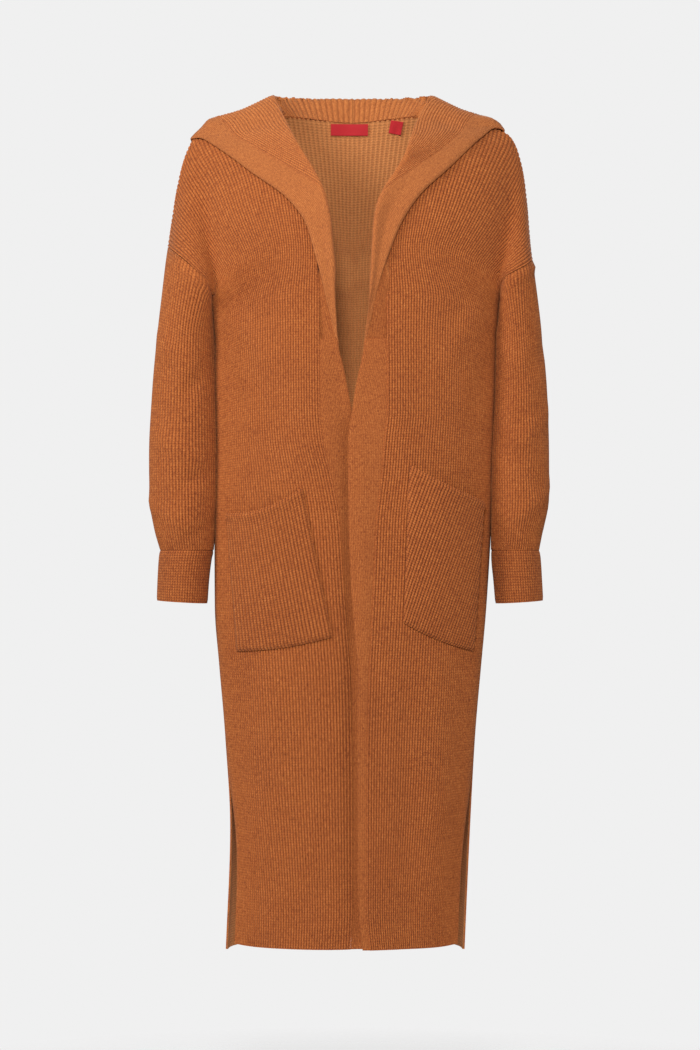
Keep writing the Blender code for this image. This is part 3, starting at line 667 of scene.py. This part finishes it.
sleeve = {
    "wall": 0.002,
    "ribs": 66,
    "rows": 40,
    "ribHeight": 0.00075,
    "start": 0.0012,  # how far it begins below the armhole's line
    "clearance": 0.0016,
    "perDegree": 0.00092,  # metres round the sleeve
    "rings": table(
        "drop rightX leftX rightWide leftWide y deep tilt",
        (0.3, 0.2235, 0.224, 0.039, 0.032, 0.002, 0.066, 0.018),
        (0.38, 0.226, 0.227, 0.045, 0.0375, 0.001, 0.065, 0.006),
        (0.46, 0.227, 0.226, 0.048, 0.041, -0.003, 0.062, 0),
        (0.52, 0.2275, 0.2265, 0.0463, 0.04, -0.008, 0.058, 0),
        (0.56, 0.2262, 0.2236, 0.0413, 0.0354, -0.012, 0.052, 0),
        (0.5885, 0.2237, 0.221, 0.0357, 0.032, -0.014, 0.043, 0),
    ),
    "creases": {  # turns are degrees round the sleeve, and 90 is the front
        "right": table(
            "turn0 drop0 turn1 drop1 width height",
            (20, 0.3, 100, 0.345, 0.012, 0.003), (150, 0.33, 70, 0.4, 0.013, -0.0032),
            (30, 0.43, 120, 0.47, 0.013, 0.0032), (150, 0.47, 60, 0.52, 0.011, -0.0034),
            (0, 0.52, 90, 0.555, 0.01, 0.003), (90, 0.575, 170, 0.545, 0.008, -0.0026),
            (200, 0.33, 300, 0.42, 0.015, -0.0034), (220, 0.45, 330, 0.5, 0.013, 0.0036),
            (250, 0.54, 340, 0.565, 0.01, -0.003),
        ),
        "left": table(
            "turn0 drop0 turn1 drop1 width height",
            (10, 0.31, 90, 0.36, 0.012, -0.003), (150, 0.3, 80, 0.35, 0.012, 0.003),
            (20, 0.4, 110, 0.45, 0.014, 0.0034), (140, 0.44, 50, 0.5, 0.012, -0.0034),
            (10, 0.5, 100, 0.545, 0.01, 0.0032), (100, 0.56, 10, 0.572, 0.008, -0.0026),
            (210, 0.34, 310, 0.4, 0.014, 0.0034), (230, 0.44, 330, 0.52, 0.013, -0.0036),
            (200, 0.54, 320, 0.56, 0.01, 0.003),
        ),
    },
}
cuff = {
    "wall": 0.0024,
    "ribs": 60,
    "rows": 16,
    "ribHeight": 0.0005,
    "topCurl": (-0.001, -0.0003),
    "endCurl": -0.0006,
    "rings": table(
        "drop rightX leftX rightWide leftWide y deep tilt",
        (0.583, 0.2235, 0.221, 0.033, 0.029, -0.014, 0.0405, 0),
        (0.59, 0.224, 0.2213, 0.0358, 0.0322, -0.014, 0.0432, 0),
        (0.6, 0.2258, 0.2222, 0.0355, 0.033, -0.015, 0.043, 0),
        (0.63, 0.2285, 0.2245, 0.0345, 0.0325, -0.016, 0.042, 0.001),
        (0.659, 0.23, 0.2265, 0.034, 0.032, -0.017, 0.041, 0.002),
    ),
}


def ringsOf(rows, side, angles):
    column = {name: values[:, None] for name, values in rows.items()}
    x = column[side + "X"] + column[side + "Wide"] * np.cos(angles)
    y = column["y"] - column["deep"] * np.sin(angles)
    z = -column["drop"] + column["tilt"] * np.cos(angles)
    return np.stack([x, y, z], axis=2)


def armholeLoop(side, angles):  # the seam the sleeve hangs from, front half and its mirror behind
    downs = np.linspace(0, body["underarm"], 90)
    run = runOf(armholePoint(side, "front", downs).T)
    wanted = np.interp(math.pi - np.abs(math.pi - angles), math.pi * run / run[-1], downs)
    loop = armholePoint(side, "front", wanted).T
    loop[angles > math.pi, 1] *= -1
    return loop


def throughRings(rings, run, places):
    made = np.empty((len(places), rings.shape[1], 3))
    for j in range(rings.shape[1]):
        for k in range(3):
            made[:, j, k] = curveThrough(run, rings[:, j, k], places)
    return made


def tubeCreases(grid, angles, rows):
    around = np.broadcast_to(np.degrees(angles), grid.shape[:2])
    places = np.stack([around * sleeve["perDegree"], -grid[..., 2]], axis=2)
    ends = {end: rows[end] * sleeve["perDegree"] for end in ("turn0", "turn1")}
    return softLines(places, {**rows, **ends}, 0.4)


def anglesOf(part):
    count = part["ribs"] * 4
    return np.arange(count) * 2 * math.pi / count


def tubeGrid(side, part, rings, start=0.0):
    run = runOf(rings.mean(axis=1))
    grid = onSide(side, throughRings(rings, run, np.linspace(start, run[-1], part["rows"])))
    return grid, normalsOf(grid, closed=True) * sign[side]


def sewTube(name, part, grid, normals, material):
    u, v = np.meshgrid(np.arange(grid.shape[1] + 1) / 4.0, runOf(grid.mean(axis=1)))
    return sewSheet(name, grid, normals, u, v, part["wall"], material, "ribbed_knit", closed=True)


def sleeveTube(side):
    angles = anglesOf(sleeve)
    rings = np.concatenate([armholeLoop(side, angles)[None], ringsOf(sleeve["rings"], side, angles)])
    grid, normals = tubeGrid(side, sleeve, rings, sleeve["start"])
    grid = grid + normals * tubeCreases(grid, angles, sleeve["creases"][side])[..., None]
    grid[1:] = keptOff(grid[1:], bodyTree, sleeve["clearance"])
    relief = ribRelief(len(angles), sleeve["ribHeight"])
    settle = np.ones(sleeve["rows"])
    settle[:2] = (0.0, 0.7)  # the wales rise out of the armhole's seam
    grid = grid + normals * relief[None, :, None] * settle[:, None, None]
    piece = sewTube(side + "SleeveKnit", sleeve, grid, normals, ribKnit)
    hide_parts(side + "_sleeve")


def cuffTube(side):
    angles = anglesOf(cuff)
    grid, normals = tubeGrid(side, cuff, ringsOf(cuff["rings"], side, angles))
    edges = np.zeros(cuff["rows"])
    edges[:2], edges[-1] = cuff["topCurl"], cuff["endCurl"]
    relief = ribRelief(len(angles), cuff["ribHeight"])
    grid = grid + normals * (relief[None, :] + edges[:, None])[..., None]
    piece = sewTube(side + "CuffKnit", cuff, grid, normals, cuffKnit)
    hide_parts(side + "_cuff")


for side in sign:
    sleeveTube(side)
    cuffTube(side)
print("sleeves and cuffs made")


# The hood's sections are counted in steps from the lapel's foot to the middle of the back.
standStep = 8
middleStep = 12
hood = {
    "wall": 0.0019,
    "bandWall": 0.0018,
    "bandWidth": 0.048,
    "bandGap": 0.0005,
    "ribPitch": 0.0044,
    "standSpread": 0.075,  # how much of the cut goes round the back of the neck, each side
    "ribHeight": 0.00062,
    "rows": 92,
    "bandColumns": 34,
    "turnRadius": 0.035,
    "turnReach": 0.055,  # metres to a step where the wales turn
    "fold": 0.0045,  # half the thickness where it turns over
    "lieAt": (0.5, 0.65, 0.8, 0.9),  # shares of the way from the roll to the edge
    "lieLift": 0.008,
    "edgeLift": 0.0062,
    "clearance": 0.0042,
    "seamSink": 0.0032,
    "seamTuck": 0.0024,  # the hood's seam tucks under the fronts
    "standTuck": (0, -0.003, -0.0012),  # and inside the back
    "footSink": 0.0034,  # its foot goes in behind the plain band
    "footSteps": 1.2,
    "lapSteps": (3, 4.5),  # the right half leaves the lap between these
    "edgeCurl": (-0.001, -0.0005, -0.0002),  # the band's free edge rolls under
    "bandSink": -0.0004,
    "leftRim": ((-0.0115, 0, 0.0115), (-0.008, 0, 0.006)),  # the left rim's shift at steps 8 and 9
    "creases": creases(
        (-0.128, -0.04, -0.098, -0.06, 0.012, 0.0022),
        (0.12, -0.03, 0.094, -0.058, 0.012, 0.0022),
        (-0.15, -0.03, -0.12, -0.012, 0.01, -0.0018),
        (0.146, -0.02, 0.118, -0.006, 0.01, -0.0018),
        (-0.06, -0.18, 0.01, -0.24, 0.016, 0.0026),
        (0.09, -0.17, 0.03, -0.26, 0.015, -0.0026),
    ),
    "seamX": (0.088, 0.079, 0.058, 0.03, 0),  # these and the rows below are for steps 8 to 12
    "stand": table(
        "x y z",
        (0.1055, 0.015, 0.029), (0.096, 0.042, 0.0335), (0.07, 0.059, 0.0355),
        (0.036, 0.066, 0.035), (0, 0.068, 0.0345),
    ),
    "lie": table(
        "x y z",
        (0.153, 0.008, 0.0105), (0.142, 0.056, -0.008), (0.108, 0.09, -0.062),
        (0.058, 0.106, -0.1), (0, 0.109, -0.115),
    ),
    "bag": table(
        "x y z half",
        (0.195, 0.005, -0.002, 0), (0.183, 0.082, -0.085, 0.005), (0.143, 0.122, -0.193, 0.008),
        (0.078, 0.137, -0.272, 0.01), (0, 0.14, -0.3, 0.01),
    ),
    "rim": table(
        "x y z",
        (0.22, 0, -0.03), (0.213, 0.056, -0.056), (0.168, 0.116, -0.094),
        (0.092, 0.146, -0.127), (0, 0.154, -0.14),
    ),
}


def spot(name, step):
    return np.array([hood[name][k][step - standStep] for k in "xyz"])


def neckSeam(side, z):
    x, near = neckX(side, z), 0.004
    place = bodyAt(side, x, z)
    across = bodyAt(side, x + near, z) - place
    up = bodyAt(side, neckX(side, z + near), z + near) - bodyAt(side, neckX(side, z - near), z - near)
    normal = unit(np.cross(across, up))
    outward = unit(np.cross(normal, up))
    outward *= np.sign(outward[0])
    return place - normal * hood["seamSink"] + outward * hood["seamTuck"]


def foldedOver(seam, roll, lie, hint, fullness=1.0):  # from the seam up over the roll and down
    inside = unit(lie - roll)
    half = hood["fold"] * fullness
    apart = unit(hint - inside * hint.dot(inside)) * half
    deep = roll + inside * 0.7 * half
    return [seam, (seam + deep - apart) / 2, deep - apart, roll, deep + apart, lie]


def lapelKnots(side, step):  # a section from the neck seam round the fold to the rim, as ten points
    rows = lapel[side]
    x, z = rows["rollX"][step], rows["rollZ"][step]
    roll = np.array([x, -rows["rollY"][step], z])
    edgeX, edgeZ = rows["edgeX"][step], rows["edgeZ"][step]
    fullness = 0.25 + 0.75 * ease(step / 1.6)  # it lies flat where it starts
    lift = np.array([0, -hood["lieLift"] * fullness, 0])
    out = [bodyAt(side, x + (edgeX - x) * s, z + (edgeZ - z) * s) + lift for s in hood["lieAt"]]
    rim = bodyAt(side, edgeX, edgeZ) - np.array([0, hood["edgeLift"] * fullness, 0])
    lean = ease((step - 5) / 3)  # towards the stand the fold opens sideways and up
    apart = unit(np.array([0.8 * lean, -1 + 0.9 * lean, 0.6 * lean]))
    return foldedOver(neckSeam(side, z), roll, out[0], apart, fullness) + out[1:] + [rim]


def backKnots(step):  # the same ten points round the stand and the bag
    roll, lie, bottom, rim = [spot(name, step) for name in ("stand", "lie", "bag", "rim")]
    half = hood["bag"]["half"][step - standStep]
    ridge = levelPoints("right", "back", 0.0)
    x = hood["seamX"][step - standStep]
    seam = np.array([x] + [np.interp(x, ridge[:, 0], ridge[:, k]) for k in (1, 2)]) + hood["standTuck"]
    outward = unit(np.array([roll[0], roll[1], 0]))
    if half == 0:
        ends = [(lie + bottom) / 2, bottom, (bottom + rim) / 2]
    else:
        away = unit(np.array([0.6 * bottom[0], bottom[1], 0])) * half
        up = np.array([0, 0, 1.6 * half])
        ends = [bottom - away + up, bottom, bottom + away + up]
    return foldedOver(seam, roll, lie, outward) + ends + [rim]


class HoodHalf:  # sections of one half, found by step and by metres from the rim
    def __init__(self, side):
        steps = range(middleStep + 1)
        knots = np.array([lapelKnots(side, k) if k < standStep else backKnots(k) for k in steps])
        if side == "left":
            knots[standStep : standStep + 2, -1] += hood["leftRim"]
        self.steps = np.linspace(0.025, middleStep, 121)
        fine = throughRings(knots, np.array(steps), self.steps)
        for n in np.flatnonzero(self.steps < standStep):
            fine[n, 0] = neckSeam(side, fine[n, 0, 2])
        fine[..., 1] += hood["footSink"] * (1 - ease(self.steps / hood["footSteps"]))[:, None]
        if side == "right":
            low, high = hood["lapSteps"]
            fine[..., 1] += lapShift(fine[..., 0]) * ease((high - self.steps) / (high - low))[:, None]
        last, perKnot = knots.shape[1] - 1, 12
        close = np.linspace(0, last, perKnot * last + 1)
        across = throughRings(fine.transpose(1, 0, 2), np.arange(last + 1.0), close)
        sections = onSide(side, across).transpose(1, 0, 2)
        lying = slice(4 * perKnot, None)  # from the knot after the roll to the rim
        sections[:, lying] = keptOff(sections[:, lying], bodyTree, hood["clearance"])
        self.backwards = sections[:, ::-1]
        self.fromRim = np.array([runOf(section) for section in self.backwards])
        self.length = np.maximum.accumulate(self.fromRim[:, -1] + np.arange(len(self.steps)) * 1e-7)

    def onSection(self, n, distance):
        distance = min(distance, self.fromRim[n][-1])
        return np.array([np.interp(distance, self.fromRim[n], self.backwards[n][:, k]) for k in range(3)])

    def at(self, steps, distances):
        places = np.interp(steps, self.steps, np.arange(len(self.steps)))
        lows = np.minimum(places.astype(int), len(self.steps) - 2)
        found = []
        for place, low, distance in zip(places, lows, distances):
            share = place - low
            near, far = self.onSection(low, distance), self.onSection(low + 1, distance)
            found.append(near * (1 - share) + far * share)
        return np.array(found)

    def ribLine(self, cut, neckCut):  # one wale's way from the neck seam to the middle line
        if cut <= neckCut:
            start = np.interp(cut, self.length, self.steps)
            return np.linspace(start, middleStep, 90), np.full(90, cut)
        start = standStep + (middleStep - standStep) * (cut - neckCut) / hood["standSpread"]
        full = np.interp(start, self.steps, self.length)
        radius = min(hood["turnRadius"], (full - cut) * 0.9)
        wide = min(radius / hood["turnReach"], middleStep - start)
        turn = np.linspace(0, math.pi / 2, 14)[1:-1]
        turning, across = start + wide * (1 - np.cos(turn)), np.linspace(start + wide, middleStep, 30)
        steps = np.concatenate([np.full(60, start), turning, across])
        down = np.linspace(full, cut + radius, 60)
        cuts = np.concatenate([down, cut + radius * (1 - np.sin(turn)), np.full(30, cut)])
        return steps, cuts


def hoodCut(half, neckCut, cuts):  # a grid with a column for each cut's line, and the metres along it
    grid = np.empty((hood["rows"], len(cuts), 3))
    v = np.empty(grid.shape[:2])
    for j, cut in enumerate(cuts):
        line = half.at(*half.ribLine(cut, neckCut))
        run = runOf(line)
        at = np.linspace(0, run[-1], hood["rows"])
        grid[:, j] = picked(line, run, at)
        v[:, j] = run[-1] - at
    return grid, v


def hoodSheets():
    first = hood["bandWidth"] + hood["bandGap"]
    bandCuts = np.linspace(0.0, hood["bandWidth"], hood["bandColumns"])
    ribbed, bands, count = [], [], None
    for side in sign:
        half = HoodHalf(side)
        neckCut = float(np.interp(standStep, half.steps, half.length))
        widest = neckCut + hood["standSpread"]
        count = count or int((widest - first) / hood["ribPitch"]) * 4 + 1  # both halves have as many wales
        ribbed.append(hoodCut(half, neckCut, np.linspace(first, widest, count)))
        bands.append(hoodCut(half, neckCut, bandCuts))
    (right, rightV), (left, leftV) = ribbed
    left[-1], left[:, -1] = right[-1], right[:, -1]
    grid = np.concatenate([right, left[:, -2::-1]], axis=1)
    normals = normalsOf(grid)
    normals *= -np.sign(normals[3, count - 1, 1])  # the face towards the neck is the one that shows
    relief = ribRelief(count, hood["ribHeight"])
    relief = np.concatenate([relief, relief[-2::-1]])
    normals[-1, :, 0] = 0  # the halves meet in the middle plane
    grid = grid + normals * (relief[None, :] + creaseLift(grid, hood["creases"]))[..., None]
    u = np.tile(np.abs(np.arange(2 * count - 1) - (count - 1)) / 4.0, (len(grid), 1))
    v = np.concatenate([rightV, leftV[:, -2::-1]], axis=1)
    piece = sewSheet("hoodKnit", grid, normals, u, v, hood["wall"], hoodKnit, "ribbed_knit")
    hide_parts("hood")
    (right, rightV), (left, leftV) = bands
    left[-1] = right[-1]
    grid = np.concatenate([right[:-1], left[::-1]])
    normals = normalsOf(grid)
    normals *= -np.sign(normals[hood["rows"] // 2, 5, 1])
    curl = np.zeros(hood["bandColumns"])
    curl[:3], curl[-1] = hood["edgeCurl"], hood["bandSink"]
    grid = grid + normals * (curl[None, :] + creaseLift(grid, hood["creases"]))[..., None]
    u = np.tile(bandCuts / plainStitch["wale"], (len(grid), 1))
    v = np.concatenate([rightV[:-1], 2 * rightV[-1] - leftV[::-1]])
    wall = hood["bandWall"]
    piece = sewSheet("hoodBandKnit", grid, normals, u, v, wall, litBandKnit, "plain_knit", inside=plainKnit)
    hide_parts("hood_band")


hoodSheets()
print("hood made")


pocket = {
    "wall": 0.0019,
    "ribs": 28,
    "rows": 56,
    "columns": 141,
    "ribHeight": 0.0008,
    "wide": 0.135,  # between its corners
    "tall": 0.2,
    "flatTall": 0.205,
    "stand": 0.0045,  # how far its face stands off the front
    "gape": 0.011,
    "lowBow": 0.004,  # how far the lower edge sags
    "edgeSink": 0.0026,  # its sewn edges sink in
    "edgeReach": 0.0012,
    "mouthRoll": 0.0016,  # a soft ridge this high, this wide and this far below the mouth
    "rollReach": 0.004,
    "rollDown": 0.005,
    "mouthDrop": 0.0014,
    "right": {  # corners as x and z, the mouth's sag and how far the wales run askew
        "topOut": (0.1655, -0.539), "topIn": (0.0648, -0.5061),
        "lowOut": (0.1525, -0.7235), "lowIn": (0.0264, -0.703), "sag": 0.012, "lean": 0.0,
    },
    "left": {
        "topOut": (0.1743, -0.5242), "topIn": (0.0753, -0.4758),
        "lowOut": (0.161, -0.7235), "lowIn": (0.0674, -0.6844), "sag": 0.004, "lean": 0.5,
    },
}


def pocketPlace(side, across, down):
    corner = {name: np.array(pocket[side][name]) for name in ("topIn", "topOut", "lowIn", "lowOut")}
    top = corner["topIn"] * (1 - across) + corner["topOut"] * across
    low = corner["lowIn"] * (1 - across) + corner["lowOut"] * across
    bow = math.sin(math.pi * across)
    top[1] -= pocket[side]["sag"] * bow
    low[1] -= pocket["lowBow"] * bow
    return top * (1 - down) + low * down


def refined(grid, rows, columns):  # a smooth close grid through a coarse one
    run = np.arange(grid.shape[0], dtype=float)
    tall = throughRings(grid, run, np.linspace(0, run[-1], rows))
    run = np.arange(grid.shape[1], dtype=float)
    return throughRings(tall.transpose(1, 0, 2), run, np.linspace(0, run[-1], columns)).transpose(1, 0, 2)


def pocketSheet(side):
    places = [[pocketPlace(side, j / 11, i / 9) for j in range(12)] for i in range(10)]
    coarse = np.array([[bodyAt(side, *place) for place in row] for row in places])
    if side == "right":
        coarse[..., 1] += lapShift(coarse[..., 0])
    grid = onSide(side, refined(coarse, pocket["rows"], pocket["columns"]))
    normals = normalsOf(grid) * -sign[side]
    across = np.linspace(0, 1, pocket["columns"])[None, :]
    down = np.linspace(0, 1, pocket["rows"])[:, None]
    gape = pocket["gape"] * np.sin(math.pi * across) ** 0.6 * (1 - down) ** 0.7
    lift = pocket["stand"] + gape + creaseLift(grid, frontCreases[side])
    grid = grid + normals * lift[..., None]
    lean = pocket[side]["lean"]
    count = int(pocket["ribs"] * (1 + lean)) * 4 + 1
    relief = ribRelief(count, pocket["ribHeight"])
    made, faces, u = [], [], []
    for i, low in enumerate(down[:, 0]):  # wales that run askew end at a side
        places = np.linspace(0, 1 + lean, count) - lean * low
        kept = np.clip(places, 0, 1)
        point, normal = picked(grid[i], across[0], kept), picked(normals[i], across[0], kept)
        edge = np.minimum(np.minimum(kept, 1 - kept) * pocket["wide"], (1 - low) * pocket["tall"])
        sink = pocket["edgeSink"] * np.exp(-((edge / pocket["edgeReach"]) ** 2))
        below = (low * pocket["tall"] - pocket["rollDown"]) / pocket["rollReach"]
        rise = pocket["mouthRoll"] * math.exp(-(below**2)) - pocket["mouthDrop"] * (i == 0)
        made.append(point + normal * (np.interp(kept, places, relief) - sink + rise)[:, None])
        faces.append(normal)
        u.append(np.interp(kept, places, np.arange(count) / 4.0))
    v = np.tile(np.linspace(0, pocket["flatTall"], pocket["rows"])[:, None], (1, count))
    sheet = [np.array(values) for values in (made, faces, u)]
    piece = sewSheet(side + "PocketKnit", *sheet, v, pocket["wall"], pocketKnit, "ribbed_knit")
    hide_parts(side + "_pocket")


for side in sign:
    pocketSheet(side)
print("pockets made")


# Both labels are left plain.
labels = {
    "wall": 0.0008,
    "stand": 0.005,  # from the back's outside
    "ripple": 0.0006,
    "neckLabel": {
        "node": "neck_label", "middle": -0.0035, "top": -0.0035, "wide": 0.051, "tall": 0.015, "turn": 0,
    },
    "sizeLabel": {
        "node": "size_label", "middle": 0.062, "top": -0.001, "wide": 0.017, "tall": 0.0165, "turn": 0.2,
    },
}


def hangLabel(name):
    label = labels[name]
    bpy.ops.mesh.primitive_grid_add(x_subdivisions=16, y_subdivisions=6, size=1, location=(0, 0, 0))
    piece = bpy.context.object
    piece.name = name
    turn = label["turn"]
    for vertex in piece.data.vertices:
        u, v = vertex.co.x * label["wide"], (vertex.co.y - 0.5) * label["tall"]
        x = label["middle"] + u * math.cos(turn) + v * math.sin(turn)
        z = label["top"] + v * math.cos(turn) - u * math.sin(turn)
        y = bodyAt("left", abs(x), z, "back")[1] - labels["stand"]
        y -= labels["ripple"] * math.sin(vertex.co.x * 9.0 + turn * 20) * (0.5 - vertex.co.y)
        vertex.co = (x, y, z)
    piece.data.materials.append(redTape)
    finishCloth(piece, labels["wall"])
    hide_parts(label["node"])


for name in ("neckLabel", "sizeLabel"):
    hangLabel(name)
print("labels made")


studio = {
    "floorHeight": -1.4,
    "floorRadius": 1.0,
    "fadeFrom": 0.45,
    "paper": 0.871,
    "ambient": 0.32,
    "eye": (-0.0027, -4.2, -0.555),
    "frameHeight": 1.428,  # seen at the garment's middle
    "aimHeight": -0.45,
    "lamps": [  # place, size, watts
        ((-1.7, -1.4, 0.9), 0.9, 29),
        ((-0.08, -2.5, 0.5), 0.4, 40),
        ((1.7, -1.9, 0.7), 0.3, 3),
        ((0.5, 2.4, 1.4), 1.8, 46),
    ],
}


def makeStudio():
    bpy.ops.mesh.primitive_circle_add(
        vertices=96, radius=studio["floorRadius"], fill_type="NGON", location=(0, 0, studio["floorHeight"])
    )
    floor = bpy.context.object
    floor.name = "paleFloor"
    material, shader = newMaterial("palePaper", 0.9)
    start = Wire(material.node_tree)
    place = start.node("TexCoord", out=3)
    reach = start.node("VectorMath", {0: place}, out=1, operation="LENGTH")
    fade = start.node("MapRange", {0: reach, 1: studio["fadeFrom"], 2: studio["floorRadius"], 3: 1.0, 4: 0.0})
    setInputs(shader, {"Sheen Weight": 0, "Base Color": (*[studio["paper"]] * 3, 1), "Alpha": fade})
    floor.data.materials.append(material)
    for place, size, watts in studio["lamps"]:
        bpy.ops.object.light_add(type="AREA", location=place)
        lamp = bpy.context.object
        lamp.data.shape, lamp.data.size, lamp.data.energy = "DISK", size, watts
        aim = Vector((0, 0, studio["aimHeight"])) - Vector(place)
        lamp.rotation_euler = aim.to_track_quat("-Z", "Y").to_euler()
    world = bpy.data.worlds.new("studio")
    bpy.context.scene.world = world
    world.use_nodes = True
    start = Wire(world.node_tree)
    seen = start.node("LightPath", out=0)
    glossy = start.node("LightPath", out=3)
    shown = start.maths("MAXIMUM", seen, glossy)
    background = world.node_tree.nodes["Background"]
    strength = shown * studio["paper"] + (1 - shown) * studio["ambient"]
    setInputs(background, {"Color": (1, 1, 1, 1), "Strength": strength})
    bpy.ops.object.camera_add(location=studio["eye"], rotation=(math.radians(90), 0, 0))
    camera = bpy.context.object
    camera.data.sensor_fit = "VERTICAL"
    camera.data.sensor_height = 24
    camera.data.lens = camera.data.sensor_height * -studio["eye"][1] / studio["frameHeight"]
    bpy.context.scene.camera = camera
    bpy.context.scene.view_settings.view_transform = "Standard"


makeStudio()
print("studio made")
